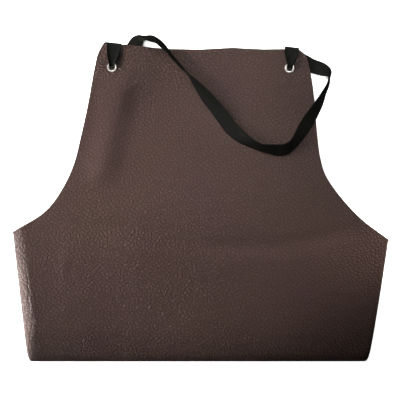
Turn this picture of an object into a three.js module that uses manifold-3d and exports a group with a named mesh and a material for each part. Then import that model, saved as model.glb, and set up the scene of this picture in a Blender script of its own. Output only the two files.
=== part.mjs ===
// A leather bib apron, folded up and lying face up, with its neck strap laid across the bib.
// Millimetres, +Z up. It rests on the plane z = 0 and the top of the bib points to +Y.
// The leather is one cut sheet. Its sides are turned under along two slanting folds, then its
// skirt is rolled under: the bottom fold turns it back and a second fold tucks the hem inside.

import * as THREE from 'three';
import { mergeVertices } from 'three/addons/utils/BufferGeometryUtils.js';
import Module from 'manifold-3d';

const wasm = await Module();
wasm.setup();

// Driving dimensions
const LEATHER = 1.6; // thickness of the hide
const GAP = 0.3; // clearance between pieces that touch
const SIDE_FOLD_R = 3.2; // bend of the turned-under sides, at the middle of the hide
const TUCK_FOLD_R = 7.8; // bend that tucks the hem inside
const BOTTOM_FOLD_R = 12.2; // bend along the bottom edge
const SECOND_RUN = 150; // skirt that lies on the ground between its two folds
const THIRD_RUN = 138; // skirt from the tuck to the hem
const CUT_HALF_WIDTH = 310; // half the width of the skirt before its sides are turned under
const BIB_REST = 1.8; // height of the bib's middle, at the middle of the hide
const EYELET_LIFT = 5.8; // how much the strap behind raises the bib at the eyelets
const EYELET_LEVEL_R = 24; // leather around an eyelet that stays level
const EYELET_RISE_R = 84; // where the leather raised around an eyelet is down again
const MIDDLE_SAG = 5.5; // how far the front run sinks between the turned-under sides
const SAG_SPAN = { full: 40, none: 185 }; // distances from the middle line
const SAG_START = { none: -14, full: 60 }; // heights in plan
const BIB_SLOPE = { start: 128, end: 285 }; // where the front comes down to the bib, in plan
const SIDE_ROUND = 0.16; // share by which the front is lower at the side folds
const SIDE_ROUND_WIDTH = 28;
const STRAP_WIDTH = 20;
const STRAP = 1.2; // thickness of the webbing
const STRAP_STEPS = 6; // flats across the webbing
const STRAP_STRIDE = 7; // distance between its sections
const EYELET_HOLE_R = 4;
const EYELET_BARREL_R = 4.5;
const EYELET_FLANGE_R = 7.2;
const EYELET_BACK_R = 6.4;
const EYELET_SIDES = 28;
const PUNCH_LENGTH = 8 * LEATHER; // cylinder that cuts an eyelet's hole
const MERGE_REACH = 1e-4; // vertices closer than this are one

// Where the outline's heights are measured from: the outer side of the bottom fold
const BOTTOM_EDGE = -(BOTTOM_FOLD_R + LEATHER / 2);

// Edges of the bib in plan, from the top corner to the waist corner
const LEFT_EDGE = [
  { across: -133.7, up: 448.3 },
  { across: -142.8, up: 430.8 },
  { across: -147, up: 414 },
  { across: -156.8, up: 363.6 },
  { across: -168, up: 313.2 },
  { across: -176.4, up: 279.6 },
  { across: -190.4, up: 246 },
  { across: -213.6, up: 212.4 },
  { across: -260.9, up: 181.6 },
];
const RIGHT_EDGE = [
  { across: 134, up: 437.9 },
  { across: 138.3, up: 437.2 },
  { across: 143.2, up: 433.6 },
  { across: 148, up: 428.5 },
  { across: 153.2, up: 410.8 },
  { across: 157.4, up: 390.5 },
  { across: 160.4, up: 366.4 },
  { across: 163.1, up: 337.7 },
  { across: 165.5, up: 312.5 },
  { across: 169.3, up: 284.8 },
  { across: 176.4, up: 260.7 },
  { across: 197.4, up: 229.2 },
  { across: 226, up: 198.4 },
  { across: 261.8, up: 171.1 },
];

// Top edge of the bib: pressed down under the left strap, lifted in a small wave further right
const TOP_EDGE = [
  { across: -133.7, up: 448.3 },
  { across: -131, up: 443.6 },
  { across: -109, up: 443.4 },
  { across: -104, up: 444.6 },
  { across: -56, up: 439 },
  { across: 0, up: 437.8 },
  { across: 46, up: 440.4 },
  { across: 90, up: 437.6 },
  { across: 134, up: 437.9 },
];

// Lines across the front of the sheet, as shares of its width, close at the pressed corner
const FRONT_COLUMNS = [
  0, 0.01, 0.05, 0.092, 0.115, 0.18, 0.25, 0.32, 0.39, 0.46, 0.53, 0.6, 0.67, 0.74, 0.81, 0.88,
  0.94, 1,
];

// Lines down the bib, as shares of its edges' length, close at the rounded top corner
const BIB_ROWS = [
  0, 0.01, 0.022, 0.038, 0.055, 0.1, 0.16, 0.22, 0.29, 0.36, 0.43, 0.5, 0.57, 0.64, 0.71, 0.78,
  0.85, 0.92, 1,
];

// Lines down the skirt, as shares of each run, and steps of each bend
const FRONT_ROWS = [0.025, 0.06, 0.12, 0.25, 0.4, 0.55, 0.7, 0.85, 1];
const GROUND_ROWS = [0.1, 0.3, 0.5, 0.7, 0.9, 1];
const HEM_ROWS = [0.1, 0.3, 0.5, 0.75, 1];
const BOTTOM_FOLD_STEPS = 9;
const TUCK_STEPS = 7;
const SIDE_FOLD_STEPS = 5;
const SIDE_RUN_STEPS = 2;
const TOP_WAVE_DEPTH = 0.2; // share of the bib over which the shape of its top edge fades

// Turned-under sides: the fold's outer line at the waist and how it closes in along the skirt,
// and how steeply the armhole's cut edge runs inwards on the turned-under side
const SIDES = {
  left: { way: -1, corner: LEFT_EDGE.at(-1), closing: 0.115, cut: 0.283 },
  right: { way: 1, corner: RIGHT_EDGE.at(-1), closing: 0.155, cut: 0.344 },
};

const EYELETS = {
  left: { across: -123.5, up: 412.2 },
  right: { across: 125.3, up: 410.8 },
};

// Section of an eyelet: its rolled back from the hole outwards, then its domed front inwards.
// lift is the distance from the leather's clearance.
const EYELET_BACK = [
  { radius: EYELET_HOLE_R, lift: 0.4 },
  { radius: EYELET_BARREL_R + 0.1, lift: 0.8 },
  { radius: EYELET_BACK_R - 0.9, lift: 0.8 },
  { radius: EYELET_BACK_R, lift: 0.35 },
  { radius: EYELET_BACK_R - 0.2, lift: 0 },
  { radius: EYELET_BARREL_R, lift: 0 },
];
const EYELET_FRONT = [
  { radius: EYELET_BARREL_R, lift: 0 },
  { radius: EYELET_FLANGE_R - 0.2, lift: 0 },
  { radius: EYELET_FLANGE_R, lift: 0.2 },
  { radius: EYELET_FLANGE_R - 0.6, lift: 0.65 },
  { radius: EYELET_FLANGE_R - 1.6, lift: 0.9 },
  { radius: EYELET_BARREL_R + 0.3, lift: 0.9 },
  { radius: EYELET_HOLE_R, lift: 0.4 },
];

// Free loop of the strap, along its middle from the left exit to the right exit. rest is the
// height of its lower edge, the right-hand one, and roll is how far the other edge is raised.
const STRAP_LOOP = [
  { across: -92.5, up: 443.1, rest: 0.3, roll: 4 },
  { across: -87.4, up: 448.7, rest: 0.6, roll: 25 },
  { across: -80.6, up: 450.8, rest: 1.4, roll: 60 },
  { across: -70.4, up: 451.8, rest: 2.2, roll: 66 },
  { across: -60.2, up: 447.6, rest: 3, roll: 73 },
  { across: -50.7, up: 439, rest: 3.6, roll: 73 },
  { across: -39.3, up: 426.3, rest: 3.2, roll: 81 },
  { across: -26, up: 411.7, rest: 3, roll: 82 },
  { across: -17.1, up: 402.4, rest: 3, roll: 76 },
  { across: -7.3, up: 391.3, rest: 3, roll: 62 },
  { across: 9.7, up: 369.9, rest: 3, roll: 41 },
  { across: 23.7, up: 353.6, rest: 3, roll: 29 },
  { across: 31.4, up: 343.6, rest: 3, roll: 24 },
  { across: 40.7, up: 330.8, rest: 3, roll: 18 },
  { across: 50.1, up: 321, rest: 3, roll: 24 },
  { across: 58.1, up: 314.3, rest: 3, roll: 38 },
  { across: 65.8, up: 309.1, rest: 3, roll: 51 },
  { across: 74.2, up: 304.5, rest: 3, roll: 60 },
  { across: 84.6, up: 299.9, rest: 3, roll: 64 },
  { across: 96.2, up: 297.8, rest: 3.2, roll: 55 },
  { across: 108.5, up: 296.1, rest: 3.4, roll: 40 },
  { across: 119, up: 297.2, rest: 3.4, roll: 40 },
  { across: 128.5, up: 303.1, rest: 3, roll: 50 },
  { across: 137.3, up: 314, rest: 3, roll: 43 },
  { across: 143.8, up: 324.4, rest: 3, roll: 31 },
  { across: 151.8, up: 337.4, rest: 3.2, roll: 27 },
  { across: 158.3, up: 347.9, rest: 3.2, roll: 38 },
  { across: 166.5, up: 361.6, rest: 2.4, roll: 52 },
  { across: 173.9, up: 377, rest: 1, roll: 69 },
  { across: 178.1, up: 389.8, rest: 0.5, roll: 78 },
  { across: 179.6, up: 399.3, rest: 0.4, roll: 84 },
  { across: 177, up: 406.6, rest: 0.4, roll: 62 },
  { across: 171.1, up: 411.5, rest: 0.4, roll: 27 },
  { across: 162.8, up: 414, rest: 0.3, roll: 14 },
  { across: 154.7, up: 415.7, rest: 0.3, roll: 4 },
];

// Each end of the strap. The turns are the directions, clockwise from +Y, in which it leaves
// the hole in front and behind; edgeUp is the leather's top edge there; behind lists its hidden
// way to the free loop.
const STRAP_ENDS = {
  left: {
    frontTurn: 6,
    backTurn: 34,
    edgeUp: 444.2,
    behind: [
      { across: -107, up: 426.5, high: 3.2 },
      { across: -98.5, up: 435, high: 1.9 },
    ],
  },
  right: {
    frontTurn: 7,
    backTurn: 22,
    edgeUp: 438.2,
    behind: [
      { across: 135.5, up: 424.5, high: 3.2 },
      { across: 145.6, up: 421.3, high: 1.9 },
    ],
  },
};

// Webbing at an eyelet, from the sewn tab behind the bib to the hidden side of the hole. out is
// the distance from the hole's middle, or from the top edge where edge is set; high is measured
// from the middle of the hide; lean is the way its outer side looks, 0 away from the hole and
// 90 up; share tells how far its direction has turned from the front one to the back one.
const STRAP_AT_EYELET = [
  { out: -17, edge: true, high: -1.75, lean: -90, width: 20, curl: 0, share: 0 },
  { out: -8, edge: true, high: -1.75, lean: -90, width: 20, curl: 0, share: 0 },
  { out: 0, edge: true, high: -1.75, lean: -90, width: 20, curl: 0, share: 0 },
  { out: 1.3, edge: true, high: -1.2, lean: -45, width: 20, curl: 0, share: 0 },
  { out: 1.8, edge: true, high: 0, lean: 0, width: 20, curl: 0, share: 0 },
  { out: 1.3, edge: true, high: 1.2, lean: 45, width: 20, curl: 0, share: 0 },
  { out: 0, edge: true, high: 1.75, lean: 90, width: 20, curl: 10, share: 0 },
  { out: -9, edge: true, high: 1.75, lean: 90, width: 19.5, curl: 55, share: 0 },
  { out: 15, edge: false, high: 1.9, lean: 90, width: 17.5, curl: 95, share: 0 },
  { out: 10, edge: false, high: 2.6, lean: 90, width: 15.5, curl: 125, share: 0 },
  { out: 6.6, edge: false, high: 3.1, lean: 90, width: 13.5, curl: 165, share: 0 },
  { out: 4.1, edge: false, high: 2.8, lean: 130, width: 11.5, curl: 200, share: 0.1 },
  { out: 2.9, edge: false, high: 1, lean: 180, width: 11, curl: 220, share: 0.35 },
  { out: 2.9, edge: false, high: -1, lean: 180, width: 11, curl: 220, share: 0.65 },
  { out: 4.1, edge: false, high: -2.8, lean: 230, width: 11.5, curl: 180, share: 0.9 },
  { out: 6.6, edge: false, high: -3.1, lean: 270, width: 14, curl: 90, share: 1 },
  { out: 11, edge: false, high: -3.4, lean: 270, width: 17, curl: 45, share: 1 },
];

const LEATHER_LOOK = { color: 0x4c3e37, roughness: 0.6, metalness: 0 };
const STRAP_LOOK = { color: 0x282a26, roughness: 0.85, metalness: 0 };
const NICKEL_LOOK = { color: 0xb9b6b0, roughness: 0.3, metalness: 1 };

const UP = new THREE.Vector3(0, 0, 1);
const smooth = (value, from, to) => THREE.MathUtils.smoothstep(value, from, to);
const plan = ({ across, up }) => new THREE.Vector3(across, BOTTOM_EDGE + up, 0);

// Smooth curve in plan through the rows of an outline table
function planCurve(rows) {
  return new THREE.CatmullRomCurve3(rows.map(plan), false, 'centripetal');
}

// Distance in plan from a place to the outer line of a side fold, inwards
function insideFold(side, x, y) {
  const corner = plan(side.corner);
  return side.way * (corner.x - x) - side.closing * (corner.y - y);
}

// Height of the front run, at the middle of the hide: high over the folded skirt, sagging
// between its sides and rounding down to the side folds, then falling to the bib, which is
// raised around each eyelet.
function frontHeight(x, y) {
  const sagAcross = 1 - smooth(Math.abs(x), SAG_SPAN.full, SAG_SPAN.none);
  const sag = MIDDLE_SAG * sagAcross * smooth(y, SAG_START.none, SAG_START.full);
  let folded = 2 * BOTTOM_FOLD_R - sag;
  for (const side of Object.values(SIDES)) {
    folded *= 1 - SIDE_ROUND * (1 - smooth(insideFold(side, x, y), 0, SIDE_ROUND_WIDTH));
  }
  let bib = BIB_REST;
  for (const eyelet of Object.values(EYELETS)) {
    const middle = plan(eyelet);
    const away = Math.hypot(x - middle.x, y - middle.y);
    bib += EYELET_LIFT * (1 - smooth(away, EYELET_LEVEL_R, EYELET_RISE_R));
  }
  const slope = smooth(y, BIB_SLOPE.start, BIB_SLOPE.end);
  return THREE.MathUtils.lerp(folded + LEATHER / 2, bib, slope);
}

// Place of a point of the folded sheet. run is the height in the folded stack, which is
// pressed together where the front run lies lower.
function settle(x, y, run) {
  const press = (frontHeight(x, y) - LEATHER / 2) / (2 * BOTTOM_FOLD_R);
  return new THREE.Vector3(x, y, LEATHER / 2 + press * run);
}

// Rows of the sheet below the waist corners: the front run, the bottom fold, the run on the
// ground, the tuck and the hem run. along is the distance from the waist along the leather,
// place gives the plan height and the height in the stack for a layer that lies inset inside.
function skirtRows(side) {
  const waist = plan(side.corner).y;
  const rows = [];
  for (const down of FRONT_ROWS) {
    const y = waist * (1 - down);
    rows.push({ along: waist - y, place: (inset) => ({ y, run: 2 * BOTTOM_FOLD_R - inset }) });
  }
  for (let step = 1; step <= BOTTOM_FOLD_STEPS; step += 1) {
    const angle = (Math.PI * step) / BOTTOM_FOLD_STEPS;
    rows.push({
      along: waist + angle * BOTTOM_FOLD_R,
      place: (inset) => ({
        y: -(BOTTOM_FOLD_R - inset) * Math.sin(angle),
        run: BOTTOM_FOLD_R + (BOTTOM_FOLD_R - inset) * Math.cos(angle),
      }),
    });
  }
  const ground = waist + Math.PI * BOTTOM_FOLD_R;
  for (const part of GROUND_ROWS) {
    const y = part * SECOND_RUN;
    rows.push({ along: ground + y, place: (inset) => ({ y, run: inset }) });
  }
  for (let step = 1; step <= TUCK_STEPS; step += 1) {
    const angle = (Math.PI * step) / TUCK_STEPS;
    rows.push({
      along: ground + SECOND_RUN + angle * TUCK_FOLD_R,
      place: (inset) => ({
        y: SECOND_RUN + (TUCK_FOLD_R - inset) * Math.sin(angle),
        run: TUCK_FOLD_R - (TUCK_FOLD_R - inset) * Math.cos(angle),
      }),
    });
  }
  const tucked = ground + SECOND_RUN + Math.PI * TUCK_FOLD_R;
  for (const part of HEM_ROWS) {
    const y = SECOND_RUN - part * THIRD_RUN;
    rows.push({
      along: tucked + part * THIRD_RUN,
      place: (inset) => ({ y, run: 2 * TUCK_FOLD_R - inset }),
    });
  }
  return rows;
}

// Cross-line of a turned-under side at one skirt row, from the front's tangent line outwards:
// the bend, then the run that lies inside. Each point has its plan x and its inset.
function sideLine(side, row) {
  const outer = side.way * plan(side.corner).x - side.closing * row.along;
  const tangent = outer - SIDE_FOLD_R - LEATHER / 2;
  const line = [];
  for (let step = 1; step <= SIDE_FOLD_STEPS; step += 1) {
    const angle = (Math.PI * step) / SIDE_FOLD_STEPS;
    line.push({
      x: side.way * (tangent + SIDE_FOLD_R * Math.sin(angle)),
      inset: SIDE_FOLD_R * (1 - Math.cos(angle)),
    });
  }
  const whole = CUT_HALF_WIDTH - outer;
  const length = Math.min(whole, row.along / side.cut);
  for (let step = 1; step <= SIDE_RUN_STEPS; step += 1) {
    line.push({
      x: side.way * (tangent - (length * step) / SIDE_RUN_STEPS),
      inset: 2 * SIDE_FOLD_R,
    });
  }
  return { tangent: side.way * tangent, line };
}

// How far the top edge lies above the straight line between its corners, by its share across
function topEdgeOffset() {
  const [first, last] = [TOP_EDGE[0], TOP_EDGE.at(-1)];
  const share = ({ across }) => (across - first.across) / (last.across - first.across);
  const rise = (row) => row.up - THREE.MathUtils.lerp(first.up, last.up, share(row));
  const edge = new THREE.LinearInterpolant(TOP_EDGE.map(share), TOP_EDGE.map(rise), 1);
  return (part) => edge.evaluate(part)[0];
}

// Middle surface of the folded leather as rows of points. Rows of the bib have only the front
// columns; rows of the skirt have the left side, the front and the right side.
function leatherRows() {
  const left = planCurve(LEFT_EDGE);
  const right = planCurve(RIGHT_EDGE);
  const top = topEdgeOffset();
  const rows = [];
  for (const share of BIB_ROWS) {
    const from = left.getPointAt(share);
    const to = right.getPointAt(share);
    const wave = Math.max(0, 1 - share / TOP_WAVE_DEPTH) ** 2;
    const front = FRONT_COLUMNS.map((part) => {
      const point = from.clone().lerp(to, part);
      return settle(point.x, point.y + wave * top(part), 2 * BOTTOM_FOLD_R);
    });
    rows.push({ left: [], front, right: [] });
  }
  const leftRows = skirtRows(SIDES.left);
  const rightRows = skirtRows(SIDES.right);
  leftRows.forEach((leftRow, index) => {
    const rightRow = rightRows[index];
    const sides = [
      { row: leftRow, ...sideLine(SIDES.left, leftRow) },
      { row: rightRow, ...sideLine(SIDES.right, rightRow) },
    ];
    const lines = sides.map(({ row, line }) =>
      line.map(({ x, inset }) => {
        const { y, run } = row.place(inset);
        return settle(x, y, run);
      }),
    );
    const from = leftRow.place(0);
    const to = rightRow.place(0);
    const front = FRONT_COLUMNS.map((part) => {
      const x = THREE.MathUtils.lerp(sides[0].tangent, sides[1].tangent, part);
      const y = THREE.MathUtils.lerp(from.y, to.y, part);
      return settle(x, y, THREE.MathUtils.lerp(from.run, to.run, part));
    });
    rows.push({ left: lines[0].reverse(), front, right: lines[1] });
  });
  return { rows, waistRow: BIB_ROWS.length - 1 };
}

// Indexed middle surface of the leather. At the waist row every column of a turned-under side
// starts from the corner point, so the first skirt row opens from it as a fan.
function leatherSurface() {
  const { rows, waistRow } = leatherRows();
  const points = [];
  const numbers = rows.map(({ left, front, right }) => {
    const number = (point) => points.push(point) - 1;
    return { left: left.map(number), front: front.map(number), right: right.map(number) };
  });
  const lineOf = (index) => {
    const { left, front, right } = numbers[index];
    return [...left, ...front, ...right];
  };
  const waist = numbers[waistRow].front;
  const sideCount = numbers.at(-1).left.length;
  const corner = (number) => Array.from({ length: sideCount }, () => number);
  const lines = numbers.map((_, index) => lineOf(index));
  const waistLine = [...corner(waist[0]), ...waist, ...corner(waist.at(-1))];
  const indices = [];
  const addTriangle = (a, b, c) => {
    if (a !== b && b !== c && c !== a) {
      indices.push(a, b, c);
    }
  };
  for (let index = 0; index + 1 < lines.length; index += 1) {
    const upper = index === waistRow ? waistLine : lines[index];
    const lower = lines[index + 1];
    for (let column = 0; column + 1 < upper.length; column += 1) {
      addTriangle(upper[column], lower[column], upper[column + 1]);
      addTriangle(upper[column + 1], lower[column], lower[column + 1]);
    }
  }
  const surface = new THREE.BufferGeometry().setFromPoints(points);
  surface.setIndex(indices);
  surface.computeVertexNormals();
  return surface;
}

// Closed wall around an indexed surface: both faces, and a rim along its free edges
function thicken(surface, thickness) {
  const position = surface.getAttribute('position');
  const normal = surface.getAttribute('normal');
  const index = surface.getIndex();
  const count = position.count;
  const points = [];
  for (const way of [1, -1]) {
    for (let number = 0; number < count; number += 1) {
      const shift = new THREE.Vector3().fromBufferAttribute(normal, number);
      const point = new THREE.Vector3().fromBufferAttribute(position, number);
      points.push(point.addScaledVector(shift, (way * thickness) / 2));
    }
  }
  const indices = [];
  const edges = new Map();
  for (let face = 0; face < index.count; face += 3) {
    const corners = [0, 1, 2].map((offset) => index.getX(face + offset));
    const [a, b, c] = corners;
    indices.push(a, b, c, count + a, count + c, count + b);
    corners.forEach((from, place) => {
      const to = corners[(place + 1) % 3];
      edges.set(`${from},${to}`, [from, to]);
    });
  }
  for (const [from, to] of edges.values()) {
    if (!edges.has(`${to},${from}`)) {
      indices.push(from, count + from, to, to, count + from, count + to);
    }
  }
  const wall = new THREE.BufferGeometry().setFromPoints(points);
  wall.setIndex(indices);
  return wall;
}

// Closed band through rings of points. The first half of a ring is one face of the band, the
// second half the other face in the opposite order, so the ends close pair by pair.
function loftBand(rings) {
  const size = rings[0].length;
  const indices = [];
  for (let ring = 0; ring + 1 < rings.length; ring += 1) {
    for (let place = 0; place < size; place += 1) {
      const next = (place + 1) % size;
      const a = ring * size + place;
      const b = ring * size + next;
      indices.push(a, a + size, b, b, a + size, b + size);
    }
  }
  const last = (rings.length - 1) * size;
  for (let place = 0; place + 1 < size / 2; place += 1) {
    const other = size - 1 - place;
    indices.push(place, place + 1, other, other, place + 1, other - 1);
    indices.push(last + place, last + other, last + place + 1);
    indices.push(last + other, last + other - 1, last + place + 1);
  }
  const band = new THREE.BufferGeometry().setFromPoints(rings.flat());
  band.setIndex(indices);
  return band;
}

// Solid for cutting, from a closed geometry
function toManifold(geometry) {
  const bare = geometry.clone();
  bare.deleteAttribute('normal');
  bare.deleteAttribute('uv');
  const merged = mergeVertices(bare, MERGE_REACH);
  return new wasm.Manifold(
    new wasm.Mesh({
      numProp: 3,
      vertProperties: new Float32Array(merged.getAttribute('position').array),
      triVerts: new Uint32Array(merged.getIndex().array),
    }),
  );
}

// Geometry of a solid
function fromManifold(solid) {
  const mesh = solid.getMesh();
  const geometry = new THREE.BufferGeometry();
  geometry.setAttribute('position', new THREE.BufferAttribute(mesh.vertProperties, 3));
  geometry.setIndex(new THREE.BufferAttribute(mesh.triVerts, 1));
  return geometry;
}

// The leather with a round hole for each eyelet
function apronGeometry() {
  let body = toManifold(thicken(leatherSurface(), LEATHER));
  for (const eyelet of Object.values(EYELETS)) {
    const { x, y } = plan(eyelet);
    const punch = new THREE.CylinderGeometry(
      EYELET_BARREL_R + GAP, EYELET_BARREL_R + GAP, PUNCH_LENGTH, EYELET_SIDES,
    );
    punch.rotateX(Math.PI / 2);
    punch.translate(x, y, frontHeight(x, y));
    body = body.subtract(toManifold(punch));
  }
  return fromManifold(body);
}

// One-piece eyelet: domed flange in front, barrel through the hide, rolled edge behind
function eyeletGeometry(eyelet) {
  const face = LEATHER / 2 + GAP;
  const front = EYELET_FRONT.map(({ radius, lift }) => new THREE.Vector2(radius, face + lift));
  const back = EYELET_BACK.map(({ radius, lift }) => new THREE.Vector2(radius, -face - lift));
  const ring = new THREE.LatheGeometry([...back, ...front, back[0]], EYELET_SIDES);
  ring.rotateX(Math.PI / 2);
  const { x, y } = plan(eyelet);
  ring.translate(x, y, frontHeight(x, y));
  return fromManifold(toManifold(ring));
}

// Stations of the webbing at one eyelet, from the sewn tab to the hidden side of the hole
function eyeletStations(eyelet, end) {
  const middle = plan(eyelet);
  const level = frontHeight(middle.x, middle.y);
  return STRAP_AT_EYELET.map(({ out, edge, high, lean, width, curl, share }) => {
    const turn = THREE.MathUtils.lerp(end.frontTurn, end.backTurn, share);
    const angle = THREE.MathUtils.degToRad(turn);
    const away = new THREE.Vector3(Math.sin(angle), Math.cos(angle), 0);
    const toEdge = (BOTTOM_EDGE + end.edgeUp - middle.y) / away.y;
    const at = middle.clone().addScaledVector(away, edge ? toEdge + out : out);
    at.z = (edge ? frontHeight(at.x, Math.min(at.y, BOTTOM_EDGE + end.edgeUp)) : level) + high;
    const tilt = THREE.MathUtils.degToRad(lean);
    const face = away.clone().multiplyScalar(Math.cos(tilt));
    face.addScaledVector(UP, Math.sin(tilt));
    return { at, face, width, curl: THREE.MathUtils.degToRad(curl) };
  });
}

// Hidden stations behind the bib, where the webbing lies flat
function behindStations(end) {
  return end.behind.map((row) => {
    const at = plan(row);
    at.z = row.high;
    return { at, face: UP.clone().negate(), width: STRAP_WIDTH, curl: 0 };
  });
}

// Stations of the free loop. Its lower edge rests at the given height.
function loopStations() {
  const route = planCurve(STRAP_LOOP);
  return STRAP_LOOP.map((row, index) => {
    const roll = THREE.MathUtils.degToRad(row.roll);
    const along = route.getTangent(index / (STRAP_LOOP.length - 1));
    const leftward = new THREE.Vector3().crossVectors(UP, along).normalize();
    const at = plan(row);
    at.z = row.rest + (STRAP / 2) * Math.cos(roll) + (STRAP_WIDTH / 2) * Math.sin(roll);
    const face = leftward.multiplyScalar(Math.sin(roll)).addScaledVector(UP, -Math.cos(roll));
    return { at, face, width: STRAP_WIDTH, curl: 0 };
  });
}

// Ring of the webbing at one station: a flat or curled section, both faces
function strapRing({ at, along, face, width, curl }) {
  const side = new THREE.Vector3().crossVectors(face, along).normalize();
  const outer = new THREE.Vector3().crossVectors(along, side).normalize();
  const front = [];
  const back = [];
  for (let step = 0; step <= STRAP_STEPS; step += 1) {
    const part = step / STRAP_STEPS - 0.5;
    const angle = curl * part;
    const sideways = curl > 0 ? (width / curl) * Math.sin(angle) : width * part;
    const rise = curl > 0 ? (width / curl) * (1 - Math.cos(angle)) : 0;
    const point = at.clone().addScaledVector(side, sideways).addScaledVector(outer, rise);
    const across = outer.clone().multiplyScalar(Math.cos(angle));
    across.addScaledVector(side, -Math.sin(angle));
    front.push(point.clone().addScaledVector(across, STRAP / 2));
    back.unshift(point.clone().addScaledVector(across, -STRAP / 2));
  }
  return [...front, ...back];
}

// The whole strap as one band: the left end, the free loop, then the right end backwards
function strapGeometry() {
  const stations = [
    ...eyeletStations(EYELETS.left, STRAP_ENDS.left),
    ...behindStations(STRAP_ENDS.left),
    ...loopStations(),
    ...behindStations(STRAP_ENDS.right).reverse(),
    ...eyeletStations(EYELETS.right, STRAP_ENDS.right).reverse(),
  ];
  const route = new THREE.CatmullRomCurve3(stations.map(({ at }) => at), false, 'centripetal');
  const spans = stations.length - 1;
  const rings = [];
  for (let span = 0; span < spans; span += 1) {
    const from = stations[span];
    const to = stations[span + 1];
    const steps = Math.max(1, Math.round(from.at.distanceTo(to.at) / STRAP_STRIDE));
    const last = span === spans - 1 ? 1 : 0;
    for (let step = 0; step < steps + last; step += 1) {
      const part = step / steps;
      const place = (span + part) / spans;
      rings.push(
        strapRing({
          at: route.getPoint(place),
          along: route.getTangent(place),
          face: from.face.clone().lerp(to.face, part).normalize(),
          width: THREE.MathUtils.lerp(from.width, to.width, part),
          curl: THREE.MathUtils.lerp(from.curl, to.curl, part),
        }),
      );
    }
  }
  return fromManifold(toManifold(loftBand(rings)));
}

function piece(name, geometry, look) {
  const mesh = new THREE.Mesh(geometry, new THREE.MeshStandardMaterial(look));
  mesh.name = name;
  return mesh;
}

const apron = new THREE.Group();
apron.add(piece('apron_body', apronGeometry(), LEATHER_LOOK));
apron.add(piece('eyelet_left', eyeletGeometry(EYELETS.left), NICKEL_LOOK));
apron.add(piece('eyelet_right', eyeletGeometry(EYELETS.right), NICKEL_LOOK));
apron.add(piece('neck_strap', strapGeometry(), STRAP_LOOK));

// The origin is below the middle of the whole
const box = new THREE.Box3().setFromObject(apron);
const middle = box.getCenter(new THREE.Vector3());
apron.position.set(-middle.x, -middle.y, -box.min.z);

const part = new THREE.Group();
part.add(apron);

export default part;
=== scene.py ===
"""Looks of a folded leather bib apron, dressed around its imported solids.

Shapes are worked out in millimetres in the apron's own plan: x runs along the bottom fold, y from
that fold towards the bib and z upwards. Meshes are written in metres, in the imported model's frame.
"""

import logging
import math
from dataclasses import dataclass
from enum import Enum

import bmesh
import bpy
import numpy as np
from mathutils import Matrix, Vector, noise


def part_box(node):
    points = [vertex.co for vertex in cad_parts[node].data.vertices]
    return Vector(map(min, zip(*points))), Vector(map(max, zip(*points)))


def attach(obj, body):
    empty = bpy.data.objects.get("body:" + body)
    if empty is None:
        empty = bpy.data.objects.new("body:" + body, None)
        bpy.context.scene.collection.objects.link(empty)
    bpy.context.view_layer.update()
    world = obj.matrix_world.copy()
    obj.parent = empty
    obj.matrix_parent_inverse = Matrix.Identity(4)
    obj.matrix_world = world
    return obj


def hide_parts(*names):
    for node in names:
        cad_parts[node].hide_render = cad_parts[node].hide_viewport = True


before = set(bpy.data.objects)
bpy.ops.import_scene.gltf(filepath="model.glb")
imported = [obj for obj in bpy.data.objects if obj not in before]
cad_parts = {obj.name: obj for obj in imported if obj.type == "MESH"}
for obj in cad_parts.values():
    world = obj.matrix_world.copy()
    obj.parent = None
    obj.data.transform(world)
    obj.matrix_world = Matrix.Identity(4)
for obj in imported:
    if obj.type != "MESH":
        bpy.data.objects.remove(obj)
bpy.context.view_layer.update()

BODY = "root"
MM = 0.001
UP = np.array([0.0, 0.0, 1.0])

# Corners nearer to each other than this, in metres, are merged
MERGE_REACH = 1e-6

# Edges that turn by more than this many degrees are cut edges
SHARP_TURN = 60.0

# Least curl of the webbing's section in radians, which stands for flat
FLAT = 1e-4

log = logging.getLogger("apron")


class Side(Enum):
    """The two sides of the apron, as the way that x runs on each."""

    LEFT = -1
    RIGHT = 1


class Run(Enum):
    """The runs of the folded sheet, from the top of the bib to the hem."""

    BIB = "bib"
    FRONT = "front"
    BOTTOM = "bottom fold"
    GROUND = "ground"
    TUCK = "tuck"
    HEM = "hem"


class Slot(Enum):
    """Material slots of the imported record."""

    LEATHER = "leather"
    NICKEL = "nickel"
    WEBBING = "webbing"


@dataclass(frozen=True)
class PlanPoint:
    """Place of an outline in plan, in mm: across from the middle, up from the bottom edge."""

    across: float
    up: float


@dataclass(frozen=True)
class SoftFold:
    """A low ridge, or a trough where rise is negative, along a line on the front."""

    line: tuple[PlanPoint, ...]
    half_width: float
    rise: float


@dataclass(frozen=True)
class Shoulder:
    """How far the front droops towards a fold, over what width, and how late it bends down."""

    drop: float
    width: float
    bend: float = 2.0


@dataclass(frozen=True)
class LoopStation:
    """Middle of the free strap: rest is its lower edge's height, roll its turn in degrees.

    The strap lies flat at 0 and, turned over, at -180. A positive roll lifts the edge on the left
    of its run and a negative one the edge on the right. Skew turns its cross line in plan.
    """

    across: float
    up: float
    rest: float
    roll: float
    skew: float = 0.0


@dataclass(frozen=True)
class EyeletStation:
    """Webbing near an eyelet: out from the hole, or from the top edge where at_edge is set.

    high is measured from the middle of the hide, lean is the way its outer side looks, 0 away
    from the hole and 90 up, and turned is how far it has turned from the front way to the back.
    """

    out: float
    at_edge: bool
    high: float
    lean: float
    width: float
    curl: float
    turned: float


@dataclass(frozen=True)
class HiddenStation:
    """Middle of the strap where it lies flat behind the bib."""

    across: float
    up: float
    high: float


@dataclass(frozen=True)
class StrapEnd:
    """One end of the strap: its ways out of the hole, clockwise from +Y, and its hidden way."""

    front_turn: float
    back_turn: float
    edge_up: float
    behind: tuple[HiddenStation, ...]


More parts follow.
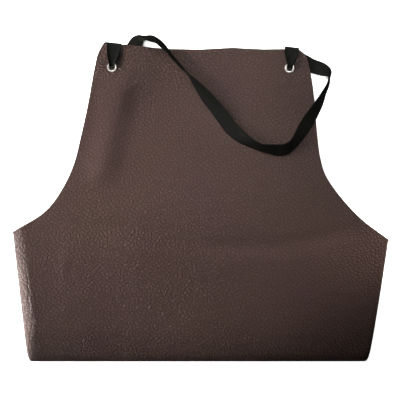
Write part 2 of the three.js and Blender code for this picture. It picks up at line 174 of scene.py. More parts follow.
@dataclass(frozen=True)
class BandStation:
    """Webbing at one station: its middle, the way its outer side looks and its width in mm.

    Curl bends its section and skew turns its cross line in plan, both in radians.
    """

    place: np.ndarray
    face: np.ndarray
    width: float
    curl: float = 0.0
    skew: float = 0.0


@dataclass(frozen=True)
class HoleRing:
    """Circle in mm that a ring of the grid is drawn to around a hole, and how fully."""

    radius: float
    share: float


@dataclass(frozen=True)
class RingPoint:
    """Corner of an eyelet's section in mm: its radius, and how far it stands off the hide."""

    radius: float
    lift: float


@dataclass(frozen=True)
class WallFaces:
    """Material numbers of a thickened sheet's back and cut edges, counted from its front."""

    back: int
    rim: int


# Outline of the front: each armhole from the bib's top corner down to the waist corner, and the
# top edge from left to right
LEFT_EDGE = (
    PlanPoint(-134.6, 446.4),
    PlanPoint(-138.0, 440.8),
    PlanPoint(-142.8, 431.4),
    PlanPoint(-147.0, 414.0),
    PlanPoint(-156.8, 363.6),
    PlanPoint(-168.0, 313.2),
    PlanPoint(-176.4, 279.6),
    PlanPoint(-190.4, 246.0),
    PlanPoint(-213.6, 212.4),
    PlanPoint(-260.9, 181.6),
)
RIGHT_EDGE = (
    PlanPoint(134.0, 437.9),
    PlanPoint(138.3, 437.2),
    PlanPoint(143.2, 433.6),
    PlanPoint(148.0, 428.5),
    PlanPoint(153.2, 410.8),
    PlanPoint(157.4, 390.5),
    PlanPoint(160.4, 366.4),
    PlanPoint(163.1, 337.7),
    PlanPoint(165.5, 312.5),
    PlanPoint(169.3, 284.8),
    PlanPoint(176.4, 260.7),
    PlanPoint(197.4, 229.2),
    PlanPoint(226.0, 198.4),
    PlanPoint(261.8, 171.1),
)
TOP_EDGE = (
    PlanPoint(-134.6, 446.4),
    PlanPoint(-133.0, 448.0),
    PlanPoint(-131.0, 447.9),
    PlanPoint(-128.5, 446.4),
    PlanPoint(-124.0, 444.6),
    PlanPoint(-109.0, 444.2),
    PlanPoint(-104.0, 444.2),
    PlanPoint(-56.0, 439.0),
    PlanPoint(0.0, 437.8),
    PlanPoint(46.0, 440.4),
    PlanPoint(90.0, 437.6),
    PlanPoint(134.0, 437.9),
)
EYELETS = {Side.LEFT: PlanPoint(-123.5, 412.2), Side.RIGHT: PlanPoint(125.3, 410.8)}

# Rings of the grid around an eyelet's hole, from its middle outwards. Rings with no circle are
# cut away
HOLE_RINGS = (
    HoleRing(0.0, 1.0),
    HoleRing(0.0, 1.0),
    HoleRing(4.8, 1.0),
    HoleRing(9.0, 0.9),
    HoleRing(13.2, 0.5),
)

# How steeply each side fold closes in along the skirt, and how steeply the armhole's cut edge
# runs inwards on the turned-under side
SIDE_CLOSING = {Side.LEFT: 0.115, Side.RIGHT: 0.155}
SIDE_CUT = {Side.LEFT: 0.283, Side.RIGHT: 0.344}

# The left and the bottom fold are rolled softly, and the right one is pressed flat
SIDE_SHOULDERS = {Side.LEFT: Shoulder(7.5, 21.0, 3.0), Side.RIGHT: Shoulder(0.6, 14.0)}
BOTTOM_SHOULDER = Shoulder(9.5, 42.0)

# The skirt's right end hangs towards its corner, this many degrees below the run of the fold
CORNER_SHOULDER = Shoulder(7.5, 90.0, 1.5)
HANGING_CORNER = PlanPoint(232.0, 4.0)
HANGING_WAY = 61.0

# Soft ridges and hollows that the folded layers and the strap press into the front
SOFT_FOLDS = (
    SoftFold(
        (PlanPoint(-113.0, 384.0), PlanPoint(-122.0, 340.0), PlanPoint(-138.0, 268.0)),
        32.0,
        4.4,
    ),
    SoftFold(
        (
            PlanPoint(-262.0, 196.0),
            PlanPoint(-200.0, 190.0),
            PlanPoint(-104.0, 185.0),
            PlanPoint(0.0, 162.0),
            PlanPoint(112.0, 160.0),
            PlanPoint(212.0, 184.0),
        ),
        20.0,
        -3.6,
    ),
    SoftFold((PlanPoint(-76.0, 146.0), PlanPoint(-72.0, 128.0)), 70.0, 2.6),
    SoftFold((PlanPoint(-184.0, 154.0), PlanPoint(-190.0, 128.0)), 12.0, 0.9),
    SoftFold(
        (PlanPoint(-146.0, 392.0), PlanPoint(-160.0, 330.0), PlanPoint(-172.0, 276.0)),
        26.0,
        -0.5,
    ),
    SoftFold((PlanPoint(-214.0, 66.0), PlanPoint(-172.0, 104.0)), 9.0, -0.35),
    SoftFold((PlanPoint(-190.0, 44.0), PlanPoint(-146.0, 84.0)), 8.0, -0.35),
    SoftFold((PlanPoint(-224.0, 30.0), PlanPoint(-196.0, 56.0)), 8.0, -0.3),
)

# The strap's free loop, from where it leaves the bib's back on the left to where it goes back
# behind it on the right
STRAP_LOOP = (
    LoopStation(-92.9, 442.9, 0.3, 0.0, 28.0),
    LoopStation(-87.7, 450.1, 0.6, -18.0, 41.0),
    LoopStation(-83.5, 451.6, 1.0, -51.0, 49.0),
    LoopStation(-79.9, 452.4, 1.4, -65.0, 30.0),
    LoopStation(-75.0, 452.8, 1.8, -64.0, 12.0),
    LoopStation(-67.3, 451.9, 2.2, -55.0, 16.0),
    LoopStation(-59.1, 448.1, 2.8, -66.0, 17.0),
    LoopStation(-53.3, 442.8, 3.4, -66.0, -3.0),
    LoopStation(-44.4, 433.3, 3.4, -74.0),
    LoopStation(-39.3, 426.3, 3.2, -77.0),
    LoopStation(-26.0, 411.7, 3.0, -77.0),
    LoopStation(-17.1, 402.4, 3.0, -86.0),
    LoopStation(-7.3, 391.3, 3.0, -110.0),
    LoopStation(9.7, 369.9, 3.0, -139.0),
    LoopStation(23.7, 353.6, 3.0, -151.0),
    LoopStation(31.4, 343.6, 3.0, -156.0),
    LoopStation(40.7, 330.8, 3.0, -162.0),
    LoopStation(50.1, 321.0, 3.0, -156.0),
    LoopStation(58.1, 314.3, 3.0, -142.0),
    LoopStation(65.8, 309.1, 3.0, -129.0),
    LoopStation(74.2, 304.5, 3.0, -120.0),
    LoopStation(84.6, 299.9, 3.0, -116.0),
    LoopStation(96.2, 297.8, 3.2, -125.0),
    LoopStation(108.5, 296.1, 3.4, -140.0),
    LoopStation(119.0, 297.2, 3.4, -140.0),
    LoopStation(128.5, 303.1, 3.0, -130.0),
    LoopStation(137.3, 314.0, 3.0, -137.0),
    LoopStation(143.8, 324.4, 3.0, -149.0),
    LoopStation(151.8, 337.4, 3.2, -153.0),
    LoopStation(158.3, 347.9, 3.2, -142.0),
    LoopStation(166.5, 361.6, 2.4, -128.0),
    LoopStation(173.9, 377.0, 1.0, -111.0),
    LoopStation(179.8, 390.2, 0.5, -103.0, 10.0),
    LoopStation(180.6, 398.0, 0.4, -99.0, 20.0),
    LoopStation(180.3, 402.6, 0.4, -120.0, 52.0),
    LoopStation(178.6, 405.4, 0.4, -137.0, 34.0),
    LoopStation(173.9, 408.7, 0.4, -157.0, 18.0),
    LoopStation(167.3, 411.5, 0.3, -170.0, 9.0),
    LoopStation(158.1, 414.7, 0.3, -176.0, 10.0),
)
STRAP_ENDS = {
    Side.LEFT: StrapEnd(
        front_turn=6.0,
        back_turn=34.0,
        edge_up=444.2,
        behind=(HiddenStation(-107.0, 426.5, 3.2), HiddenStation(-98.5, 435.0, 1.9)),
    ),
    Side.RIGHT: StrapEnd(
        front_turn=7.0,
        back_turn=22.0,
        edge_up=438.2,
        behind=(HiddenStation(135.5, 424.5, 3.2), HiddenStation(145.6, 421.3, 1.9)),
    ),
}

# The strap is turned over once between its ends
TURNED = {Side.LEFT: 1, Side.RIGHT: -1}

# The strap's way from its sewn tab over the top edge, down the front and through the hole
STRAP_AT_EYELET = (
    EyeletStation(-17.0, True, -1.75, -90.0, 20.0, 0.0, 0.0),
    EyeletStation(-8.0, True, -1.75, -90.0, 20.0, 0.0, 0.0),
    EyeletStation(0.0, True, -1.75, -90.0, 20.0, 0.0, 0.0),
    EyeletStation(1.3, True, -1.2, -45.0, 20.0, 0.0, 0.0),
    EyeletStation(1.8, True, 0.0, 0.0, 20.0, 0.0, 0.0),
    EyeletStation(1.3, True, 1.2, 45.0, 20.0, 0.0, 0.0),
    EyeletStation(0.0, True, 1.75, 90.0, 20.0, 10.0, 0.0),
    EyeletStation(-9.0, True, 1.75, 90.0, 19.5, 55.0, 0.0),
    EyeletStation(15.0, False, 1.9, 90.0, 17.5, 95.0, 0.0),
    EyeletStation(10.0, False, 2.6, 90.0, 15.5, 125.0, 0.0),
    EyeletStation(6.6, False, 3.1, 90.0, 13.5, 165.0, 0.0),
    EyeletStation(4.1, False, 2.8, 130.0, 11.5, 200.0, 0.1),
    EyeletStation(2.9, False, 1.0, 180.0, 11.0, 220.0, 0.35),
    EyeletStation(2.9, False, -1.0, 180.0, 11.0, 220.0, 0.65),
    EyeletStation(4.1, False, -2.8, 230.0, 11.5, 180.0, 0.9),
    EyeletStation(6.6, False, -3.1, 270.0, 14.0, 90.0, 1.0),
    EyeletStation(11.0, False, -3.4, 270.0, 17.0, 45.0, 1.0),
)


def smooth(value: np.ndarray, start: float, end: float) -> np.ndarray:
    """Eased step between two values.

    Args:
        value: numbers to ease.
        start: where the step is still 0.
        end: where the step has reached 1.

    Returns:
        Shares from 0 to 1.
    """
    part = np.clip((np.asarray(value, float) - start) / (end - start), 0.0, 1.0)
    return part * part * (3.0 - 2.0 * part)


def turned(ways: np.ndarray, angles: np.ndarray) -> np.ndarray:
    """Turns directions about the upright.

    Args:
        ways: directions, one a row.
        angles: angles in radians, anticlockwise from above.

    Returns:
        The turned directions.
    """
    cos, sin = np.cos(angles), np.sin(angles)
    x, y, z = ways.T
    return np.column_stack([cos * x - sin * y, sin * x + cos * y, z])


def distance(x: np.ndarray, y: np.ndarray, start: np.ndarray, end: np.ndarray) -> np.ndarray:
    """Distance in plan from a straight line.

    Args:
        x: places across.
        y: places along.
        start: one end of the line.
        end: its other end.

    Returns:
        How far each place is from the nearest point of the line.
    """
    way = end - start
    part = np.clip(((x - start[0]) * way[0] + (y - start[1]) * way[1]) / (way @ way), 0.0, 1.0)
    return np.hypot(x - start[0] - part * way[0], y - start[1] - part * way[1])


def away_from(middle: np.ndarray, x: np.ndarray, y: np.ndarray) -> np.ndarray:
    """How far places in plan are from a point."""
    return np.hypot(x - middle[0], y - middle[1])


def travelled(points: np.ndarray) -> np.ndarray:
    """Length of the way through points, up to each of them."""
    steps = np.linalg.norm(np.diff(points, axis=0), axis=1)
    return np.concatenate([[0.0], np.cumsum(steps)])


def lerp(start: np.ndarray, end: np.ndarray, part: np.ndarray) -> np.ndarray:
    """Value between start and end, at a share of the way."""
    return start + (end - start) * part


def unit(vectors: np.ndarray) -> np.ndarray:
    """Vectors brought to length 1, row by row."""
    return vectors / np.linalg.norm(vectors, axis=-1, keepdims=True)


def linear(hex_colour: str) -> tuple[float, float, float, float]:
    """Linear colour of an sRGB hex value.

    Args:
        hex_colour: a value such as "#4c3e37".

    Returns:
        Red, green, blue and alpha, linear.
    """
    parts = [int(hex_colour[place : place + 2], 16) / 255 for place in (1, 3, 5)]
    bent = [part / 12.92 if part <= 0.04045 else ((part + 0.055) / 1.055) ** 2.4 for part in parts]
    return (*bent, 1.0)


def add_node(
    tree: bpy.types.NodeTree, kind: str, inputs: dict | None = None, **settings: object
) -> bpy.types.Node:
    """Adds a node with its settings and links.

    Args:
        tree: the material's node tree.
        kind: type of the node.
        inputs: socket names or numbers, each with a value or the socket to link from.
        settings: attributes of the node.

    Returns:
        The new node.
    """
    node = tree.nodes.new(kind)
    for name, value in settings.items():
        setattr(node, name, value)
    for key, value in (inputs or {}).items():
        if isinstance(value, bpy.types.NodeSocket):
            tree.links.new(value, node.inputs[key])
        else:
            node.inputs[key].default_value = value
    return node


def new_material(name: str) -> tuple[bpy.types.Material, bpy.types.NodeTree]:
    """Makes an empty node material.

    Args:
        name: name of the material.

    Returns:
        The material and its tree.
    """
    material = bpy.data.materials.new(name)
    material.use_nodes = True
    material.node_tree.nodes.clear()
    return material, material.node_tree


class SmoothCurve:
    """Centripetal Catmull-Rom curve through points, carried on straight past its ends."""

    SAMPLES_PER_SPAN = 40
    TANGENT_REACH = 0.002

    def __init__(self, points: np.ndarray) -> None:
        """Keeps the points, with one more past each end.

        Args:
            points: points that the curve passes through, one a row.
        """
        rows = np.array(points, float)
        before = 2 * rows[0] - rows[1]
        after = 2 * rows[-1] - rows[-2]
        self.points = np.vstack([before, rows, after])
        self.spans = len(rows) - 1

    def at(self, place: np.ndarray) -> np.ndarray:
        """Points of the curve.

        Args:
            place: places counted in spans, from 0 at the first point.

        Returns:
            One point a row.
        """
        place = np.clip(np.atleast_1d(np.asarray(place, float)), 0.0, self.spans)
        span = np.minimum(place.astype(int), self.spans - 1)
        part = (place - span)[:, None]
        p0, p1, p2, p3 = (self.points[span + step] for step in range(4))
        d0, d1, d2 = (
            np.sqrt(np.linalg.norm(end - start, axis=1))[:, None]
            for start, end in ((p0, p1), (p1, p2), (p2, p3))
        )
        leave = d1 * ((p1 - p0) / d0 - (p2 - p0) / (d0 + d1) + (p2 - p1) / d1)
        reach = d1 * ((p2 - p1) / d1 - (p3 - p1) / (d1 + d2) + (p3 - p2) / d2)
        square = part * part
        cube = square * part
        return (
            (2 * cube - 3 * square + 1) * p1
            + (cube - 2 * square + part) * leave
            + (3 * square - 2 * cube) * p2
            + (cube - square) * reach
        )

    def tangent(self, place: np.ndarray) -> np.ndarray:
        """Directions of the curve at places counted in spans, of length 1."""
        place = np.atleast_1d(np.asarray(place, float))
        return unit(self.at(place + self.TANGENT_REACH) - self.at(place - self.TANGENT_REACH))

    def at_share(self, share: float) -> np.ndarray:
        """Finds a point by its share of the curve's length.

        Args:
            share: 0 at the first point and 1 at the last.

        Returns:
            The point.
        """
        places = np.linspace(0.0, self.spans, self.spans * self.SAMPLES_PER_SPAN + 1)
        length = travelled(self.at(places))
        return self.at(np.interp(share * length[-1], length, places))[0]


def link_mesh(name: str, shape: bmesh.types.BMesh, rounded: bool = True) -> bpy.types.Object:
    """Turns a bmesh into an object of the scene, and frees it.

    Args:
        name: name of the object.
        shape: its mesh.
        rounded: True if its faces are shaded smooth.

    Returns:
        The object, linked to the scene.
    """
    for face in shape.faces:
        face.smooth = rounded
    mesh = bpy.data.meshes.new(name)
    shape.to_mesh(mesh)
    shape.free()
    linked = bpy.data.objects.new(name, mesh)
    bpy.context.scene.collection.objects.link(linked)
    return linked


def stand_for(piece: bpy.types.Object, node: str) -> None:
    """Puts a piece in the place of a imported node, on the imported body.

    Args:
        piece: the piece.
        node: the node that it stands for.
    """
    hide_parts(node)
    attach(piece, BODY)


def sheet_object(
    name: str, places: np.ndarray, flat: np.ndarray, missing: np.ndarray, uv_name: str
) -> bpy.types.Object:
    """A sheet made from a grid whose corners are moved to their places.

    Args:
        name: name of the piece.
        places: x, y and z for each row and column, in metres.
        flat: the sheet's own flat coordinates for each row and column, in metres.
        missing: True where the cut sheet has no leather or webbing.
        uv_name: name of the map that keeps the flat coordinates.

    Returns:
        The piece, linked to the scene.
    """
    rows, columns = missing.shape
    sheet = bmesh.new()
    bmesh.ops.create_grid(sheet, x_segments=columns - 1, y_segments=rows - 1, size=1.0)
    uv_layer = sheet.loops.layers.uv.new(uv_name)
    order = {}
    for corner in sheet.verts:
        column = round((corner.co.x + 1.0) / 2.0 * (columns - 1))
        row = round((1.0 - corner.co.y) / 2.0 * (rows - 1))
        order[corner] = (row, column)
    for face in sheet.faces:
        for loop in face.loops:
            loop[uv_layer].uv = flat[order[loop.vert]]
    gone = []
    for corner, spot in order.items():
        if missing[spot]:
            gone.append(corner)
        else:
            corner.co = places[spot]
    bmesh.ops.delete(sheet, geom=gone, context="VERTS")
    bmesh.ops.remove_doubles(sheet, verts=sheet.verts, dist=MERGE_REACH)
    return link_mesh(name, sheet)


def thicken(piece: bpy.types.Object, thickness: float, rounding: float, faces: WallFaces) -> None:
    """Gives a sheet its thickness to both sides, with rounded cut edges.

    Args:
        piece: the sheet.
        thickness: full thickness, in metres.
        rounding: radius of the cut edges, in metres.
        faces: material numbers of the back and of the cut edges.
    """
    wall = piece.modifiers.new("wall", "SOLIDIFY")
    wall.thickness = thickness
    wall.offset = 0.0
    wall.material_offset = faces.back
    wall.material_offset_rim = faces.rim
    edge = piece.modifiers.new("rounded_edges", "BEVEL")
    edge.limit_method = "ANGLE"
    edge.angle_limit = math.radians(SHARP_TURN)
    edge.width = rounding
    edge.segments = 2
    edge.profile = 0.5
    edge.harden_normals = True


@dataclass(frozen=True)
class PebbledLeather:
    """Drum-dyed cowhide, embossed with a pebble grain and given a thin semi-matt finish.

    Rounded pebbles a few millimetres across sit between fine creases. The finish gives a soft,
    broad sheen on the pebbles' tops while the creases stay dull, and the creases carry painted
    shade: their colour is darkened towards the bottom of each crease. Pebble, cloud and relief
    are in mm, wander and drift in pebbles, lie in radians, and the rest are shares.
    """

    brown: str = "#4a3932"
    grey_brown: str = "#493735"
    # Painted shade: the colour that the creases are darkened towards
    crease: str = "#2a1f19"
    pebble: float = 4.2
    fine_pebble: float = 2.1
    cloud: float = 130.0
    relief: float = 1.3
    wander: float = 1.5
    drift: float = 6.0
    lie: float = -0.7
    stretch: float = 0.72
    scatter: float = 0.9
    flank: float = 0.32
    fine_share: float = 0.3
    crease_height: float = 0.55
    # Painted shade: share of the hide's own colour left at the bottom of a crease
    hide_share_in_crease_shade: float = 0.4
    crease_dull: float = 0.62
    top_dull: float = 0.44
    gloss: float = 0.3

    def material(self) -> bpy.types.Material:
        """Draws the grain side of the hide on its flat pattern.

        Returns:
            The material.
        """
        material, tree = new_material("pebbled_cowhide")
        pattern = add_node(tree, "ShaderNodeUVMap", uv_map=ApronBody.UV_NAME)
        flat = pattern.outputs["UV"]
        drift = add_node(
            tree,
            "ShaderNodeTexNoise",
            {"Vector": flat, "Scale": 1 / (self.drift * self.pebble * MM), "Detail": 2.0},
        )
        centred = add_node(
            tree,
            "ShaderNodeVectorMath",
            {0: drift.outputs["Color"], 1: (0.5, 0.5, 0.5)},
            operation="SUBTRACT",
        )
        reach = self.wander * self.pebble * MM
        bent = add_node(
            tree,
            "ShaderNodeVectorMath",
            {0: centred.outputs[0], 1: (reach, reach, 0.0), 2: flat},
            operation="MULTIPLY_ADD",
        )
        stretched = add_node(
            tree,
            "ShaderNodeMapping",
            {
                "Vector": bent.outputs[0],
                "Rotation": (0.0, 0.0, self.lie),
                "Scale": (self.stretch, 1.0, 1.0),
            },
        )
        heights = []
        for size in (self.pebble, self.fine_pebble):
            cells = add_node(
                tree,
                "ShaderNodeTexVoronoi",
                {
                    "Vector": stretched.outputs[0],
                    "Scale": 1 / (size * MM),
                    "Randomness": self.scatter,
                },
                feature="DISTANCE_TO_EDGE",
                voronoi_dimensions="2D",
            )
            tops = add_node(
                tree,
                "ShaderNodeMapRange",
                {"Value": cells.outputs["Distance"], "From Max": self.flank},
                interpolation_type="SMOOTHERSTEP",
            )
            heights.append(tops.outputs["Result"])
        grain = add_node(
            tree, "ShaderNodeMix", {"Factor": self.fine_share, "A": heights[0], "B": heights[1]}
        )
        clouds = add_node(
            tree,
            "ShaderNodeTexNoise",
            {"Vector": flat, "Scale": 1 / (self.cloud * MM), "Detail": 3.0, "Roughness": 0.55},
        )
        softened = add_node(
            tree,
            "ShaderNodeMapRange",
            {"Value": clouds.outputs["Fac"], "From Min": 0.3, "From Max": 0.7},
        )
        hide = add_node(
            tree,
            "ShaderNodeMix",
            {
                "Factor": softened.outputs["Result"],
                "A": linear(self.brown),
                "B": linear(self.grey_brown),
            },
            data_type="RGBA",
        )
        return self._finish(material, tree, hide, grain)

    def _finish(
        self,
        material: bpy.types.Material,
        tree: bpy.types.NodeTree,
        hide: bpy.types.Node,
        grain: bpy.types.Node,
    ) -> bpy.types.Material:
        """Joins the hide's colour, the painted shade in its creases and its grain in one shader.

        Args:
            material: the material.
            tree: its tree.
            hide: node with the hide's colour.
            grain: node with the height of the grain, from 0 in a crease to 1 on a pebble.

        Returns:
            The finished material.
        """
        height = grain.outputs["Result"]
        # Painted shade: the colour is mixed towards the dark crease colour, most at a crease's bottom
        crease_shading = add_node(
            tree,
            "ShaderNodeMapRange",
            {"Value": height, "From Max": self.crease_height, "To Min": self.hide_share_in_crease_shade},
        )
        colour = add_node(
            tree,
            "ShaderNodeMix",
            {
                "Factor": crease_shading.outputs["Result"],
                "A": linear(self.crease),
                "B": hide.outputs[2],
            },
            data_type="RGBA",
        )
        dull = add_node(
            tree,
            "ShaderNodeMapRange",
            {"Value": height, "To Min": self.crease_dull, "To Max": self.top_dull},
        )
        bump = add_node(
            tree,
            "ShaderNodeBump",
            {"Height": height, "Strength": 0.95, "Distance": self.relief * MM},
        )
        shader = add_node(
            tree,
            "ShaderNodeBsdfPrincipled",
            {
                "Base Color": colour.outputs[2],
                "Roughness": dull.outputs["Result"],
                "Specular IOR Level": self.gloss,
                "Normal": bump.outputs["Normal"],
            },
        )
        add_node(tree, "ShaderNodeOutputMaterial", {"Surface": shader.outputs[0]})
        return material


@dataclass(frozen=True)
class FleshLeather:
    """The hide's flesh side: split fibres brushed to a short nap, dull and blotched.

    The nap is drawn coarser than real fibres so that it shows. Nap and relief are in mm.
    """

    name: str = "suede_flesh_side"
    light: str = "#6d5848"
    dark: str = "#574537"
    nap: float = 1.2
    relief: float = 0.25

    def material(self) -> bpy.types.Material:
        """Draws fibres with a soft nap on the flat pattern.

        Returns:
            The material.
        """
        material, tree = new_material(self.name)
        pattern = add_node(tree, "ShaderNodeUVMap", uv_map=ApronBody.UV_NAME)
        fibres = add_node(
            tree,
            "ShaderNodeTexNoise",
            {
                "Vector": pattern.outputs["UV"],
                "Scale": 1 / (self.nap * MM),
                "Detail": 5.0,
                "Distortion": 1.2,
            },
        )
        colour = add_node(
            tree,
            "ShaderNodeMix",
            {"Factor": fibres.outputs["Fac"], "A": linear(self.dark), "B": linear(self.light)},
            data_type="RGBA",
        )
        bump = add_node(
            tree,
            "ShaderNodeBump",
            {"Height": fibres.outputs["Fac"], "Strength": 0.8, "Distance": self.relief * MM},
        )
        shader = add_node(
            tree,
            "ShaderNodeBsdfPrincipled",
            {
                "Base Color": colour.outputs[2],
                "Roughness": 0.95,
                "Sheen Weight": 0.25,
                "Normal": bump.outputs["Normal"],
            },
        )
        add_node(tree, "ShaderNodeOutputMaterial", {"Surface": shader.outputs[0]})
        return material


@dataclass(frozen=True)
class WovenWebbing:
    """Polyester webbing woven in a herringbone twill: matt and near black.

    Slanting yarn ridges meet in rows along the band. They are drawn a little coarser than the
    real yarn so that they show, and they are painted lighter than the grooves between them, as
    painted highlight and shade. Yarn, rib and relief are in mm, fibres are counted across a yarn,
    and fuzz is their share of its height.
    """

    black: str = "#0f0f0e"
    # Painted highlight: colour of the ridge tops, lighter than the black of the grooves
    ridge: str = "#1d1d1a"
    yarn: float = 1.3
    rib: float = 5.0
    relief: float = 0.3
    fibres: int = 3
    fuzz: float = 0.35

    def material(self) -> bpy.types.Material:
        """Draws the twill along the band's own length and width.

        Returns:
            The material.
        """
        material, tree = new_material("herringbone_webbing")
        own = add_node(tree, "ShaderNodeUVMap", uv_map=NeckStrap.UV_NAME)
        place = add_node(tree, "ShaderNodeSeparateXYZ", {0: own.outputs["UV"]})
        zigzag = add_node(
            tree,
            "ShaderNodeMath",
            {0: place.outputs["X"], 1: self.rib * MM},
            operation="PINGPONG",
        )
        slant = add_node(
            tree, "ShaderNodeMath", {0: zigzag.outputs[0], 1: place.outputs["Y"]}, operation="ADD"
        )
        turns = add_node(
            tree,
            "ShaderNodeMath",
            {0: slant.outputs[0], 1: 2 * math.pi / (self.yarn * MM)},
            operation="MULTIPLY",
        )
        wave = add_node(tree, "ShaderNodeMath", {0: turns.outputs[0]}, operation="SINE")
        ridge = add_node(
            tree, "ShaderNodeMapRange", {"Value": wave.outputs[0], "From Min": -1.0}
        )
        fuzz = add_node(
            tree,
            "ShaderNodeTexNoise",
            {"Vector": own.outputs["UV"], "Scale": self.fibres / (self.yarn * MM), "Detail": 3.0},
        )
        height = add_node(
            tree,
            "ShaderNodeMath",
            {0: fuzz.outputs["Fac"], 1: self.fuzz, 2: ridge.outputs["Result"]},
            operation="MULTIPLY_ADD",
        )
        # Painted highlight and shade: the colour runs from black in the grooves to lighter on the ridges
        colour = add_node(
            tree,
            "ShaderNodeMix",
            {"Factor": ridge.outputs["Result"], "A": linear(self.black), "B": linear(self.ridge)},
            data_type="RGBA",
        )
        bump = add_node(
            tree,
            "ShaderNodeBump",
            {"Height": height.outputs[0], "Strength": 0.6, "Distance": self.relief * MM},
        )
        shader = add_node(
            tree,
            "ShaderNodeBsdfPrincipled",
            {
                "Base Color": colour.outputs[2],
                "Roughness": 0.75,
                "Specular IOR Level": 0.1,
                "Normal": bump.outputs["Normal"],
            },
        )
        add_node(tree, "ShaderNodeOutputMaterial", {"Surface": shader.outputs[0]})
        return material


@dataclass(frozen=True)
class NickelPlate:
    """Nickel-plated brass, pressed and tumbled: bright, with fine wear and a faint warm cast.

    Wear, scratch and depth are in mm.
    """

    bright: str = "#e6e1dc"
    tarnished: str = "#b9b2ac"
    wear: float = 1.4
    scratch: float = 0.5
    depth: float = 0.05
    bright_dull: float = 0.26
    tarnished_dull: float = 0.44

    def material(self) -> bpy.types.Material:
        """Draws bright metal with soft wear in the object's own space.

        Returns:
            The material.
        """
        material, tree = new_material("nickel_plate")
        own = add_node(tree, "ShaderNodeTexCoord")
        wear = add_node(
            tree,
            "ShaderNodeTexNoise",
            {"Vector": own.outputs["Object"], "Scale": 1 / (self.wear * MM), "Detail": 4.0},
        )
        colour = add_node(
            tree,
            "ShaderNodeMix",
            {"Factor": wear.outputs["Fac"], "A": linear(self.bright), "B": linear(self.tarnished)},
            data_type="RGBA",
        )
        dull = add_node(
            tree,
            "ShaderNodeMapRange",
            {
                "Value": wear.outputs["Fac"],
                "To Min": self.bright_dull,
                "To Max": self.tarnished_dull,
            },
        )
        marks = add_node(
            tree,
            "ShaderNodeTexNoise",
            {"Vector": own.outputs["Object"], "Scale": 1 / (self.scratch * MM), "Detail": 2.0},
        )
        bump = add_node(
            tree,
            "ShaderNodeBump",
            {"Height": marks.outputs["Fac"], "Strength": 0.15, "Distance": self.depth * MM},
        )
        shader = add_node(
            tree,
            "ShaderNodeBsdfPrincipled",
            {
                "Base Color": colour.outputs[2],
                "Metallic": 1.0,
                "Roughness": dull.outputs["Result"],
                "Normal": bump.outputs["Normal"],
            },
        )
        add_node(tree, "ShaderNodeOutputMaterial", {"Surface": shader.outputs[0]})
        return material


@dataclass(frozen=True)
class OpalTable:
    """Matt opal acrylic that glows white all round the part, with painted shade underneath it.

    Reach is in mm. The glow starts where the surface is free by the covered share and is full
    from the uncovered share on.
    """

    white: str = "#f4f4f2"
    glow: float = 1.12
    reach: float = 20.0
    covered: float = 0.24
    uncovered: float = 0.32

    def material(self) -> bpy.types.Material:
        """Draws a plain matt white whose glow is cut where the part covers it, as painted shade.

        Returns:
            The material.
        """
        material, tree = new_material("opal_acrylic")
        # Painted shade: the glow fades out where the part covers the floor, so it is dark underneath
        free = add_node(
            tree, "ShaderNodeAmbientOcclusion", {"Distance": self.reach * MM}, samples=64
        )
        glow = add_node(
            tree,
            "ShaderNodeMapRange",
            {
                "Value": free.outputs["AO"],
                "From Min": self.covered,
                "From Max": self.uncovered,
                "To Max": self.glow,
            },
        )
        shader = add_node(
            tree,
            "ShaderNodeBsdfPrincipled",
            {
                "Base Color": linear(self.white),
                "Roughness": 0.9,
                "Specular IOR Level": 0.1,
                "Emission Color": linear(self.white),
                "Emission Strength": glow.outputs["Result"],
            },
        )
        add_node(tree, "ShaderNodeOutputMaterial", {"Surface": shader.outputs[0]})
        return material


